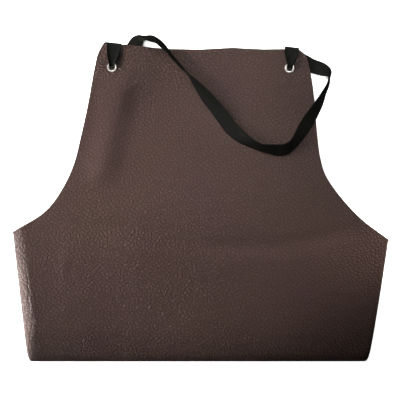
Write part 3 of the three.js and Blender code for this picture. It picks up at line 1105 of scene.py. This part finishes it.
@dataclass
class ApronBody:
    """The leather: one cut sheet with its sides turned under and its skirt rolled under.

    The fields are sizes in millimetres, counts of mesh steps, and the share of the bib over which
    the top edge's wave dies out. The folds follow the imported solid, on a finer mesh and with the
    soft ridges of a hide that lies over folded layers.
    """

    UV_NAME = "pattern"
    PIECE = "leather_sheet"
    NODE = "apron_body"

    leather: float = 1.6
    side_fold_r: float = 3.2
    tuck_fold_r: float = 7.8
    bottom_fold_r: float = 12.2
    second_run: float = 150.0
    third_run: float = 138.0
    cut_half_width: float = 310.0
    bib_rest: float = 1.8
    eyelet_lift: float = 5.8
    eyelet_level_r: float = 24.0
    eyelet_rise_r: float = 84.0
    ring_level_r: float = 10.0
    ring_rise_r: float = 40.0
    middle_sag: float = 5.5
    sag_full: float = 40.0
    sag_none: float = 185.0
    sag_start: float = -14.0
    sag_end: float = 60.0
    slope_start: float = 128.0
    slope_end: float = 285.0
    top_wave_depth: float = 0.2
    cut_rounding: float = 0.35
    cell: float = 3.4
    hidden_cell: float = 9.0
    side_fold_steps: int = 10
    bottom_fold_steps: int = 18
    tuck_steps: int = 12
    ripple: float = 0.45
    ripple_length: float = 62.0
    ripple_slice: float = 0.5
    ripple_sink: float = 0.4
    relief_start: float = 2.0
    relief_full: float = 26.0

    def __post_init__(self) -> None:
        """Works out the curves and the flat lengths that the folds share."""
        self.bottom_edge = -(self.bottom_fold_r + self.leather / 2)
        edges = {Side.LEFT: LEFT_EDGE, Side.RIGHT: RIGHT_EDGE}
        outlines = {side: [self.plan(row) for row in rows] for side, rows in edges.items()}
        self.edge = {side: SmoothCurve(outline) for side, outline in outlines.items()}
        self.corner = {side: self.plan(rows[-1]) for side, rows in edges.items()}
        self.eyelet = {side: self.plan(row) for side, row in EYELETS.items()}
        self.shift = self._shift()

    def plan(self, row: PlanPoint | LoopStation | HiddenStation) -> np.ndarray:
        """Plan place of a table row, with the bottom fold's bend at y = 0."""
        return np.array([row.across, self.bottom_edge + row.up])

    def _shift(self) -> np.ndarray:
        """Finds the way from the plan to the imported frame, by the left eyelet's solid.

        Returns:
            The way in mm, with no height.
        """
        low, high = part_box(Eyelet.NODES[Side.LEFT])
        middle = (np.array(low) + np.array(high)) / 2 / MM
        return np.array([*(middle[:2] - self.eyelet[Side.LEFT]), 0.0])

    def to_frame(self, places: np.ndarray) -> np.ndarray:
        """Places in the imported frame, in metres."""
        return (places + self.shift) * MM

    def inside_fold(self, side: Side, x: np.ndarray, y: np.ndarray) -> np.ndarray:
        """Distance in plan from a place to the outer line of a side fold, inwards."""
        corner = self.corner[side]
        return side.value * (corner[0] - x) - SIDE_CLOSING[side] * (corner[1] - y)

    def inside_corner(self, x: np.ndarray, y: np.ndarray) -> np.ndarray:
        """How far places of the front lie from the hanging corner, along the way it hangs."""
        corner, way = self.plan(HANGING_CORNER), math.radians(HANGING_WAY)
        return (corner[0] - x) * math.cos(way) + (y - corner[1]) * math.sin(way)

    @staticmethod
    def droop(shoulder: Shoulder, inside: np.ndarray) -> np.ndarray:
        """How far the front has drooped at a distance inside a fold."""
        return shoulder.drop * (1 - np.minimum(inside / shoulder.width, 1.0)) ** shoulder.bend

    def front_height(self, x: np.ndarray, y: np.ndarray) -> np.ndarray:
        """Height of the front at the middle of the hide.

        Args:
            x: places across, in plan.
            y: places along, in plan.

        Returns:
            Heights: high over the folded skirt, low on the bib, raised around each eyelet.
        """
        across = 1 - smooth(np.abs(x), self.sag_full, self.sag_none)
        sag = self.middle_sag * across * smooth(y, self.sag_start, self.sag_end)
        droops = [self.droop(BOTTOM_SHOULDER, y)]
        for side, shoulder in SIDE_SHOULDERS.items():
            droops.append(self.droop(shoulder, self.inside_fold(side, x, y)))
        droops.append(self.droop(CORNER_SHOULDER, self.inside_corner(x, y)))
        folded = 2 * self.bottom_fold_r - sag - np.sqrt(sum(droop**2 for droop in droops))
        bib = self.bib_rest
        for middle in self.eyelet.values():
            away = away_from(middle, x, y)
            near = 1 - smooth(away, self.eyelet_level_r, self.eyelet_rise_r)
            bib = bib + self.eyelet_lift * near
        return lerp(folded + self.leather / 2, bib, smooth(y, self.slope_start, self.slope_end))

    def settle(self, x: np.ndarray, y: np.ndarray, run: np.ndarray) -> np.ndarray:
        """Height of a place in the folded stack, pressed together where the front lies lower."""
        press = (self.front_height(x, y) - self.leather / 2) / (2 * self.bottom_fold_r)
        return self.leather / 2 + press * run

    def relief(self, x: np.ndarray, y: np.ndarray) -> np.ndarray:
        """How far the front is raised or sunk by soft folds and ripples.

        Args:
            x: places across, in plan.
            y: places along, in plan.

        Returns:
            Heights above the smooth front, none at the folds and around the eyelets.
        """
        total = np.zeros_like(x)
        for fold in SOFT_FOLDS:
            line = [self.plan(point) for point in fold.line]
            away = np.min([distance(x, y, *ends) for ends in zip(line, line[1:])], axis=0)
            total = total + fold.rise * (1 - smooth(away, 0.0, fold.half_width))
        spots = np.column_stack([x, y]) / self.ripple_length
        ripples = [noise.noise(Vector((*spot, self.ripple_slice))) for spot in spots]
        total = total + self.ripple * (np.array(ripples) - self.ripple_sink)
        for inside in (*(self.inside_fold(side, x, y) for side in Side), y):
            total = total * smooth(inside, self.relief_start, self.relief_full)
        for middle in self.eyelet.values():
            away = away_from(middle, x, y)
            total = total * smooth(away, self.ring_level_r, self.ring_rise_r)
        return total

    def bib_height(self, x: np.ndarray, y: np.ndarray) -> np.ndarray:
        """Height of the bib at the middle of the hide, with its soft folds."""
        return self.settle(x, y, 2 * self.bottom_fold_r) + self.relief(x, y)

    def stack(
        self, run: Run, share: float, waist: float, inset: np.ndarray
    ) -> tuple[np.ndarray, np.ndarray]:
        """Place of a skirt row in the folded stack.

        Args:
            run: the run that the row lies in.
            share: how far along that run it lies.
            waist: plan height of the waist corner on this side.
            inset: how far inside the outer layer each place lies.

        Returns:
            Plan heights and heights in the stack.
        """
        big, small = self.bottom_fold_r, self.tuck_fold_r
        angle = math.pi * share
        same = np.zeros_like(inset)
        if run is Run.FRONT:
            return same + waist * (1 - share), 2 * big - inset
        if run is Run.BOTTOM:
            return (inset - big) * math.sin(angle), big + (big - inset) * math.cos(angle)
        if run is Run.GROUND:
            return same + share * self.second_run, inset
        if run is Run.TUCK:
            out = self.second_run + (small - inset) * math.sin(angle)
            return out, small - (small - inset) * math.cos(angle)
        return same + self.second_run - share * self.third_run, 2 * small - inset

    def lengths(self, waist: float) -> dict[Run, float]:
        """Measures the skirt's runs along the leather.

        Args:
            waist: plan height of the waist corner.

        Returns:
            Length of each run, in order.
        """
        return {
            Run.FRONT: waist,
            Run.BOTTOM: math.pi * self.bottom_fold_r,
            Run.GROUND: self.second_run,
            Run.TUCK: math.pi * self.tuck_fold_r,
            Run.HEM: self.third_run,
        }

    def along(self, run: Run, share: float, waist: float) -> float:
        """Measures along the leather from the waist corner to a skirt row.

        Args:
            run: the run that the row lies in.
            share: how far along that run it lies.
            waist: plan height of the waist corner.

        Returns:
            The distance.
        """
        total = 0.0
        for name, length in self.lengths(waist).items():
            if name is run:
                return total + share * length
            total += length
        return total

    def rows(self) -> list[tuple[Run, float]]:
        """Lists the mesh's rows, from the bib's top to the hem.

        Returns:
            The run of each row and its share of that run.
        """
        bib_steps = round(self.bib_length() / self.cell)
        rows = [(Run.BIB, step / bib_steps) for step in range(bib_steps + 1)]
        lengths = self.lengths(self.corner[Side.LEFT][1])
        counts = {
            Run.FRONT: round(lengths[Run.FRONT] / self.cell),
            Run.BOTTOM: self.bottom_fold_steps,
            Run.GROUND: round(lengths[Run.GROUND] / self.hidden_cell),
            Run.TUCK: self.tuck_steps,
            Run.HEM: round(lengths[Run.HEM] / self.hidden_cell),
        }
        for run, count in counts.items():
            rows += [(run, step / count) for step in range(1, count + 1)]
        return rows

    def bib_length(self) -> float:
        """Plan height of the bib, from its top edge to the waist corners."""
        return self.plan(TOP_EDGE[0])[1] - self.corner[Side.LEFT][1]

    def front_shares(self) -> np.ndarray:
        """Places of the front's columns, as shares of its width."""
        width = self.corner[Side.RIGHT][0] - self.corner[Side.LEFT][0]
        return np.linspace(0.0, 1.0, round(width / self.cell) + 1)

    def side_steps(self) -> tuple[np.ndarray, np.ndarray]:
        """Lists the columns of a turned-under side, from the front outwards and then inwards.

        Returns:
            Angles of its bend, and shares of its run.
        """
        run_steps = round((self.cut_half_width - self.corner[Side.RIGHT][0]) / self.hidden_cell)
        angles = np.linspace(0.0, math.pi, self.side_fold_steps + 1)[1:]
        shares = np.linspace(0.0, 1.0, run_steps + 1)[1:]
        return angles, shares

    def top_offset(self, part: np.ndarray) -> np.ndarray:
        """Measures the top edge against the straight line between its corners.

        Args:
            part: shares of that line.

        Returns:
            How far the edge lies above it.
        """
        first, last = TOP_EDGE[0], TOP_EDGE[-1]
        shares = [(row.across - first.across) / (last.across - first.across) for row in TOP_EDGE]
        rises = [row.up - lerp(first.up, last.up, share) for row, share in zip(TOP_EDGE, shares)]
        return np.interp(part, shares, rises)

    def bib_row(self, share: float) -> np.ndarray:
        """One row of the bib.

        Args:
            share: how far down the bib's edges the row lies.

        Returns:
            x, y, z and the flat coordinates of each front column.
        """
        part = self.front_shares()
        start = self.edge[Side.LEFT].at_share(share)
        end = self.edge[Side.RIGHT].at_share(share)
        wave = max(0.0, 1 - share / self.top_wave_depth) ** 2
        x = lerp(start[0], end[0], part)
        y = lerp(start[1], end[1], part) + wave * self.top_offset(part)
        return np.column_stack([x, y, self.bib_height(x, y), x, y])

    def side_row(self, side: Side, run: Run, share: float) -> np.ndarray:
        """One skirt row of a turned-under side, from the front outwards and then inwards.

        Args:
            side: which side.
            run: the run that the row lies in.
            share: how far along that run it lies.

        Returns:
            x, y, z and the flat coordinates, with the front's own end first.
        """
        angles, shares = self.side_steps()
        waist = self.corner[side][1]
        along = self.along(run, share, waist)
        outer = side.value * self.corner[side][0] - SIDE_CLOSING[side] * along
        tangent = outer - self.side_fold_r - self.leather / 2
        length = min(self.cut_half_width - outer, along / SIDE_CUT[side])
        bend_x = tangent + self.side_fold_r * np.sin(angles)
        bend_inset = self.side_fold_r * (1 - np.cos(angles))
        run_inset = np.full_like(shares, 2 * self.side_fold_r)
        reach = side.value * np.concatenate([[tangent], bend_x, tangent - length * shares])
        inset = np.concatenate([[0.0], bend_inset, run_inset])
        bend_end = tangent + math.pi * self.side_fold_r
        flat = [[tangent], tangent + self.side_fold_r * angles, bend_end + length * shares]
        y, height = self.stack(run, share, waist, inset)
        z = self.settle(reach, y, height)
        flat_y = np.full_like(reach, waist - along)
        return np.column_stack([reach, y, z, side.value * np.concatenate(flat), flat_y])

    def skirt_row(self, run: Run, share: float) -> np.ndarray:
        """One skirt row with both turned-under sides.

        Args:
            run: the run that the row lies in.
            share: how far along that run it lies.

        Returns:
            x, y, z and the flat coordinates, from left to right.
        """
        left = self.side_row(Side.LEFT, run, share)
        right = self.side_row(Side.RIGHT, run, share)
        part = self.front_shares()[:, None]
        front = lerp(left[0], right[0], part)
        none = np.zeros(1)
        start, end = (self.stack(run, share, self.corner[side][1], none)[1] for side in Side)
        front[:, 2] = self.settle(front[:, 0], front[:, 1], lerp(start, end, part[:, 0]))
        if run is Run.FRONT:
            front[:, 2] += self.relief(front[:, 0], front[:, 1])
        return np.vstack([left[:0:-1], front, right[1:]])

    def surface(self) -> tuple[np.ndarray, np.ndarray]:
        """The hide's middle surface.

        Returns:
            x, y, z and the flat coordinates for each row and column, and where there is no hide.
        """
        rows = self.rows()
        side_count = sum(len(steps) for steps in self.side_steps())
        front_count = len(self.front_shares())
        columns = front_count + 2 * side_count
        values = np.zeros((len(rows), columns, 5))
        missing = np.zeros((len(rows), columns), bool)
        front = slice(side_count, side_count + front_count)
        for number, (run, share) in enumerate(rows):
            if run is not Run.BIB:
                values[number] = self.skirt_row(run, share)
                continue
            values[number, front] = self.bib_row(share)
            values[number, : front.start] = values[number, front.start]
            values[number, front.stop :] = values[number, front.stop - 1]
            if share < 1.0:
                missing[number, : front.start] = True
                missing[number, front.stop :] = True
        for middle in self.eyelet.values():
            self._punch(values, missing, middle)
        return values, missing

    def _punch(self, values: np.ndarray, missing: np.ndarray, middle: np.ndarray) -> None:
        """Opens a round hole for an eyelet by drawing rings of the grid into circles.

        Args:
            values: places of the surface, changed here.
            missing: where there is no hide, changed here.
            middle: plan place of the hole's middle.
        """
        bib_rows = sum(run is Run.BIB for run, _ in self.rows())
        away = away_from(middle, values[:bib_rows, :, 0], values[:bib_rows, :, 1])
        away[missing[:bib_rows]] = np.inf
        row, column = np.unravel_index(np.argmin(away), away.shape)
        centre = values[row, column, :2].copy()
        for ring, circle in enumerate(HOLE_RINGS):
            reach = range(-ring, ring + 1)
            steps = [(down, over) for down in reach for over in reach]
            for down, over in steps:
                if max(abs(down), abs(over)) != ring:
                    continue
                spot = (row + down, column + over)
                if circle.radius == 0.0:
                    missing[spot] = True
                    continue
                place = values[spot][:2]
                round_place = middle + unit(place - centre) * circle.radius
                place = lerp(place, round_place, circle.share)
                height = self.bib_height(place[:1], place[1:])
                values[spot] = [*place, *height, *place]

    def build(self) -> bpy.types.Object:
        """Makes the leather, with its grain side, its flesh side and its cut edges.

        Returns:
            The piece.
        """
        values, missing = self.surface()
        places = self.to_frame(values[..., :3])
        piece = sheet_object(self.PIECE, places, values[..., 3:] * MM, missing, self.UV_NAME)
        for finish in (
            PebbledLeather(),
            FleshLeather(),
            FleshLeather("cut_leather_edge", light="#3d2f27", dark="#2a1f19", nap=0.7),
        ):
            piece.data.materials.append(finish.material())
        thicken(piece, self.leather * MM, self.cut_rounding * MM, WallFaces(back=1, rim=2))
        stand_for(piece, self.NODE)
        return piece


@dataclass
class Eyelet:
    """A one-piece eyelet: domed flange in front, barrel through the hide, rolled edge behind.

    Its seat is the room in mm that it leaves to the hide.
    """

    NODES = {Side.LEFT: "eyelet_left", Side.RIGHT: "eyelet_right"}
    PIECES = {Side.LEFT: "eyelet_ring_left", Side.RIGHT: "eyelet_ring_right"}

    side: Side
    apron: ApronBody
    plate: bpy.types.Material
    seat: float = 0.1
    segments: int = 48
    rolled_edge: tuple[RingPoint, ...] = (
        RingPoint(4.0, 0.4),
        RingPoint(4.6, 0.9),
        RingPoint(5.5, 0.9),
        RingPoint(6.4, 0.4),
        RingPoint(6.2, 0.0),
        RingPoint(4.5, 0.0),
    )
    flange: tuple[RingPoint, ...] = (
        RingPoint(4.5, 0.0),
        RingPoint(7.0, 0.0),
        RingPoint(7.2, 0.25),
        RingPoint(6.6, 0.8),
        RingPoint(5.6, 1.1),
        RingPoint(4.8, 1.05),
        RingPoint(4.0, 0.5),
    )

    def profile(self) -> list[tuple[float, float]]:
        """Section of the ring.

        Returns:
            Radius and height from the hide's middle, from the hole's back edge round the outside.
        """
        face = self.apron.leather / 2 + self.seat
        behind = [(point.radius, -face - point.lift) for point in self.rolled_edge]
        return behind + [(point.radius, face + point.lift) for point in self.flange]

    def build(self) -> bpy.types.Object:
        """Spins the section into a ring and gives it its plate.

        Returns:
            The piece.
        """
        x, y = self.apron.eyelet[self.side]
        level = self.apron.front_height(x, y)
        middle = self.apron.to_frame(np.array([x, y, level]))
        ring = bmesh.new()
        corners = []
        for radius, height in self.profile():
            corners.append(ring.verts.new(middle + np.array([radius, 0.0, height]) * MM))
        for number, corner in enumerate(corners):
            ring.edges.new((corners[number - 1], corner))
        bmesh.ops.spin(
            ring,
            geom=ring.verts[:] + ring.edges[:],
            cent=middle,
            axis=UP,
            angle=2 * math.pi,
            steps=self.segments,
            use_merge=True,
        )
        bmesh.ops.remove_doubles(ring, verts=ring.verts, dist=MERGE_REACH)
        bmesh.ops.recalc_face_normals(ring, faces=ring.faces)
        piece = link_mesh(self.PIECES[self.side], ring)
        softened = piece.modifiers.new("pressed_rim", "SUBSURF")
        softened.levels = softened.render_levels = 2
        piece.data.materials.append(self.plate)
        stand_for(piece, self.NODES[self.side])
        return piece


@dataclass
class NeckStrap:
    """The neck strap: one band of webbing, from its left sewn end to its right one.

    The fields are sizes in mm, strips across the band, and rows that the running mean takes in.
    """

    UV_NAME = "webbing"
    PIECE = "strap_webbing"
    NODE = "neck_strap"

    apron: ApronBody
    width: float = 20.0
    thickness: float = 1.2
    edge_rounding: float = 0.45
    flats: int = 16
    stride: float = 1.5
    soften_steps: int = 3

    def eyelet_stations(self, side: Side) -> list[BandStation]:
        """The webbing at one eyelet.

        Args:
            side: which eyelet.

        Returns:
            Its stations, from the sewn tab to the back of the hole.
        """
        end = STRAP_ENDS[side]
        middle = self.apron.eyelet[side]
        level = self.apron.front_height(*middle)
        edge_y = self.apron.bottom_edge + end.edge_up
        stations = []
        for row in STRAP_AT_EYELET:
            turn = math.radians(lerp(end.front_turn, end.back_turn, row.turned))
            away = np.array([math.sin(turn), math.cos(turn), 0.0])
            to_edge = (edge_y - middle[1]) / away[1]
            out = to_edge + row.out if row.at_edge else row.out
            x, y = middle + away[:2] * out
            ground = self.apron.front_height(x, min(y, edge_y)) if row.at_edge else level
            tilt = math.radians(row.lean)
            face = away * math.cos(tilt) + UP * math.sin(tilt)
            place = np.array([x, y, ground + row.high])
            curl = TURNED[side] * math.radians(row.curl)
            stations.append(BandStation(place, face * TURNED[side], row.width, curl))
        return stations

    def hidden_stations(self, side: Side) -> list[BandStation]:
        """The webbing behind the bib, where it lies flat.

        Args:
            side: which end of the strap.

        Returns:
            Its stations, from the hole towards the loop.
        """
        face = -UP * TURNED[side]
        rows = STRAP_ENDS[side].behind
        places = [np.array([*self.apron.plan(row), row.high]) for row in rows]
        return [BandStation(place, face, self.width) for place in places]

    def loop_stations(self) -> list[BandStation]:
        """The free loop, whose lower edge rests at the given height.

        Returns:
            Its stations, from left to right.
        """
        route = SmoothCurve([[*self.apron.plan(row), 0.0] for row in STRAP_LOOP])
        ways = route.tangent(np.arange(len(STRAP_LOOP)))
        stations = []
        for row, way in zip(STRAP_LOOP, ways):
            roll = math.radians(row.roll)
            leftward = unit(np.cross(UP, way))
            lift = self.thickness / 2 * abs(math.cos(roll)) + self.width / 2 * abs(math.sin(roll))
            face = leftward * math.sin(roll) - UP * math.cos(roll)
            place = np.array([*self.apron.plan(row), row.rest + lift])
            stations.append(BandStation(place, face, self.width, skew=math.radians(row.skew)))
        return stations

    def stations(self) -> list[BandStation]:
        """The whole band.

        Returns:
            Its stations, from the left sewn tab to the right one.
        """
        rows = self.eyelet_stations(Side.LEFT) + self.hidden_stations(Side.LEFT)
        rows += self.loop_stations() + self.hidden_stations(Side.RIGHT)[::-1]
        return rows + self.eyelet_stations(Side.RIGHT)[::-1]

    def row_places(self, middles: np.ndarray) -> np.ndarray:
        """Lists the mesh's rows along the band.

        Args:
            middles: places of the stations, one a row.

        Returns:
            Places of the rows, counted in spans between stations.
        """
        places = []
        for span, gap in enumerate(np.linalg.norm(np.diff(middles, axis=0), axis=1)):
            steps = max(1, round(gap / self.stride))
            places += [span + step / steps for step in range(steps)]
        return np.array(places + [len(middles) - 1])

    def soften(self, values: np.ndarray) -> np.ndarray:
        """Takes the kinks out between stations by a running mean along the band.

        Args:
            values: numbers for each row of the band.

        Returns:
            The softened numbers.
        """
        half = self.soften_steps // 2
        padded = np.vstack([values[:1]] * half + [values] + [values[-1:]] * half)
        total = sum(padded[step : step + len(values)] for step in range(self.soften_steps))
        return total / self.soften_steps

    def surface(self) -> tuple[np.ndarray, np.ndarray]:
        """The band's middle surface.

        Returns:
            Places, and the band's own width and length coordinates, for each row and column.
        """
        stations = self.stations()
        middles = np.array([station.place for station in stations])
        faces = np.array([station.face for station in stations])
        skews = np.array([station.skew for station in stations])
        sections = np.array([(station.width, station.curl) for station in stations])
        route = SmoothCurve(middles)
        numbers = np.arange(len(stations))
        places = self.row_places(middles)
        sides = turned(unit(np.cross(faces, route.tangent(numbers))), skews)
        columns = [np.interp(places, numbers, column) for column in (*sides.T, *sections.T)]
        *side, width, curl = self.soften(np.column_stack(columns)).T
        at, along, side = route.at(places), route.tangent(places), unit(np.column_stack(side))
        outer = unit(np.cross(along, side))
        part = np.linspace(-0.5, 0.5, self.flats + 1)
        curl = np.where(np.abs(curl) < FLAT, FLAT, curl)[:, None]
        radius = width[:, None] / curl
        sideways = (radius * np.sin(curl * part))[..., None]
        rise = (radius * (1 - np.cos(curl * part)))[..., None]
        surface = at[:, None] + side[:, None] * sideways + outer[:, None] * rise
        length = travelled(at)[:, None]
        own = np.stack(np.broadcast_arrays(self.width * part, length), axis=-1)
        return surface, own

    def build(self) -> bpy.types.Object:
        """Makes the band, with its weave.

        Returns:
            The piece.
        """
        surface, own = self.surface()
        places = self.apron.to_frame(surface)
        missing = np.zeros(surface.shape[:2], bool)
        piece = sheet_object(self.PIECE, places, own * MM, missing, self.UV_NAME)
        piece.data.materials.append(WovenWebbing().material())
        thicken(piece, self.thickness * MM, self.edge_rounding * MM, WallFaces(back=0, rim=0))
        stand_for(piece, self.NODE)
        return piece

    def length(self) -> float:
        """Length of the band, in mm."""
        return float(self.surface()[1][-1, 0, 1])


class Lights(Enum):
    """What a softbox adds: colour and gloss, colour alone, or the gloss of a far window alone."""

    ALL = "all"
    COLOUR = "colour"
    GLOSS = "gloss"


@dataclass(frozen=True)
class Softbox:
    """A square or oblong light: its middle, target and sides in metres, and its power in watts.

    Spread is the angle in degrees that its light leaves in, and lights is what it adds.
    """

    name: str
    place: tuple[float, float, float]
    target: tuple[float, float, float]
    sides: tuple[float, float]
    power: float
    spread: float = 180.0
    lights: Lights = Lights.ALL


@dataclass
class Studio:
    """Lit opal table with a cove all round, softboxes and a camera straight above.

    Lengths are in metres, apart from the sensor's width in mm. The camera looks down on the middle
    of the plan, from a distance above the level at which its field is measured.
    """

    floor_r: float = 3.0
    floor_drop: float = 0.0003
    floor_segments: int = 96
    cove_r: float = 1.5
    cove_steps: int = 8
    wall: float = 3.0
    sensor: float = 36.0
    field: float = 0.56
    distance: float = 1.6
    level: float = 0.008
    middle: tuple[float, float] = (0.0, 0.2134)
    sky: str = "#ffffff"
    sky_power: float = 0.02
    softboxes: tuple[Softbox, ...] = (
        Softbox("key", (-0.9, 0.85, 0.75), (-0.15, 0.17, 0.0), (0.4, 0.4), 1.06, 33.0, Lights.COLOUR),
        Softbox("side", (-1.2, 0.3, 0.6), (-0.17, 0.19, 0.0), (0.3, 0.3), 0.48, 13.0, Lights.COLOUR),
        Softbox("top", (0.4, 0.9, 1.4), (0.13, 0.16, 0.0), (0.3, 0.3), 0.2, 14.0),
        Softbox("left", (-0.8, 0.1, 0.3), (-0.2, -0.09, 0.01), (0.3, 0.3), 0.35, 26.0, Lights.COLOUR),
        Softbox("front", (-0.7, 0.0, 0.65), (-0.12, -0.12, 0.01), (0.3, 0.3), 0.28, 24.0, Lights.COLOUR),
        Softbox("right", (0.8, 0.1, 0.2), (0.27, -0.06, 0.015), (0.08, 0.08), 0.1, 14.0, Lights.COLOUR),
        Softbox("fold_strip", (-0.5, -0.15, 0.016), (-0.25, -0.15, 0.014), (0.2, 0.02), 0.50, 50.0),
        Softbox("sheen", (-0.2, 0.4, 1.5), (-0.05, 0.2, 0.0), (0.5, 0.5), 0.72, 40.0, Lights.GLOSS),
    )

    def build(self, shift: np.ndarray) -> None:
        """Makes the floor, the lights and the camera.

        Args:
            shift: way from the apron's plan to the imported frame, in mm.
        """
        self._floor()
        for box in self.softboxes:
            self._light(box)
        self._sky()
        self._camera(shift)

    def _floor(self) -> None:
        """The table top, just under the part, with a cove that rises to a wall all round."""
        table = bmesh.new()
        place = Matrix.Translation((0.0, 0.0, -self.floor_drop))
        bmesh.ops.create_circle(
            table, cap_ends=True, segments=self.floor_segments, radius=self.floor_r, matrix=place
        )
        rim = table.edges[:]
        radius, height = self.floor_r, 0.0
        turns = [math.pi / 2 * (step + 1) / self.cove_steps for step in range(self.cove_steps)]
        section = [(math.sin(turn), 1 - math.cos(turn)) for turn in turns]
        rings = [(self.floor_r + self.cove_r * out, self.cove_r * up) for out, up in section]
        rings.append((self.floor_r + self.cove_r, self.cove_r + self.wall))
        for wider, higher in rings:
            grown = bmesh.ops.extrude_edge_only(table, edges=rim)["geom"]
            rim = [part for part in grown if isinstance(part, bmesh.types.BMEdge)]
            rim = [edge for edge in rim if edge.is_boundary]
            corners = [part for part in grown if isinstance(part, bmesh.types.BMVert)]
            bmesh.ops.scale(table, vec=(wider / radius, wider / radius, 1.0), verts=corners)
            bmesh.ops.translate(table, vec=(0.0, 0.0, higher - height), verts=corners)
            radius, height = wider, higher
        floor = link_mesh("floor", table, rounded=False)
        floor.data.materials.append(OpalTable().material())
        floor.visible_diffuse = False
        floor.visible_glossy = False

    def _light(self, box: Softbox) -> None:
        """Makes a light, turned to its target and hidden from the camera.

        Args:
            box: its place, size and power.
        """
        data = bpy.data.lights.new(box.name, "AREA")
        data.shape = "RECTANGLE"
        data.size, data.size_y = box.sides
        data.energy = box.power
        data.spread = math.radians(box.spread)
        light = bpy.data.objects.new(box.name, data)
        light.location = box.place
        way = Vector(box.target) - Vector(box.place)
        light.rotation_euler = way.to_track_quat("-Z", "Y").to_euler()
        light.visible_camera = False
        light.visible_diffuse = box.lights is not Lights.GLOSS
        light.visible_glossy = box.lights is not Lights.COLOUR
        bpy.context.scene.collection.objects.link(light)

    def _sky(self) -> None:
        """Even light from all round."""
        world = bpy.data.worlds.new("studio")
        world.use_nodes = True
        tree = world.node_tree
        tree.nodes.clear()
        sky = add_node(
            tree, "ShaderNodeBackground", {"Color": linear(self.sky), "Strength": self.sky_power}
        )
        add_node(tree, "ShaderNodeOutputWorld", {"Surface": sky.outputs[0]})
        bpy.context.scene.world = world

    def _camera(self, shift: np.ndarray) -> None:
        """Makes a camera straight above, whose field is measured at the level of the front.

        Args:
            shift: way from the apron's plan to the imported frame, in mm.
        """
        data = bpy.data.cameras.new("camera")
        data.sensor_width = self.sensor
        data.lens = self.sensor * self.distance / self.field
        camera = bpy.data.objects.new("camera", data)
        x, y = np.array(self.middle) + shift[:2] * MM
        camera.location = (x, y, self.level + self.distance)
        bpy.context.scene.collection.objects.link(camera)
        bpy.context.scene.camera = camera


def declare_sheets(
    band: NeckStrap
) -> None:
    """Works out the webbing's length in metres, and does nothing further with it.

    Args:
        band: its sizes.
    """
    band.length() * MM


def main() -> None:
    """Builds the studio and each piece in order."""
    logging.basicConfig(level=logging.INFO, format="%(name)s: %(message)s")
    bpy.context.scene.view_settings.view_transform = "Standard"
    body = ApronBody()
    Studio().build(body.shift)
    leather = body.build()
    log.info("%s: %d faces before its wall", leather.name, len(leather.data.polygons))
    plate = NickelPlate().material()
    for side in Side:
        ring = Eyelet(side, body, plate).build()
        log.info("%s: %d faces", ring.name, len(ring.data.polygons))
    band = NeckStrap(body)
    strap = band.build()
    log.info("%s: %.0f mm long", strap.name, band.length())
    declare_sheets(band)


if __name__ == "__main__":
    main()
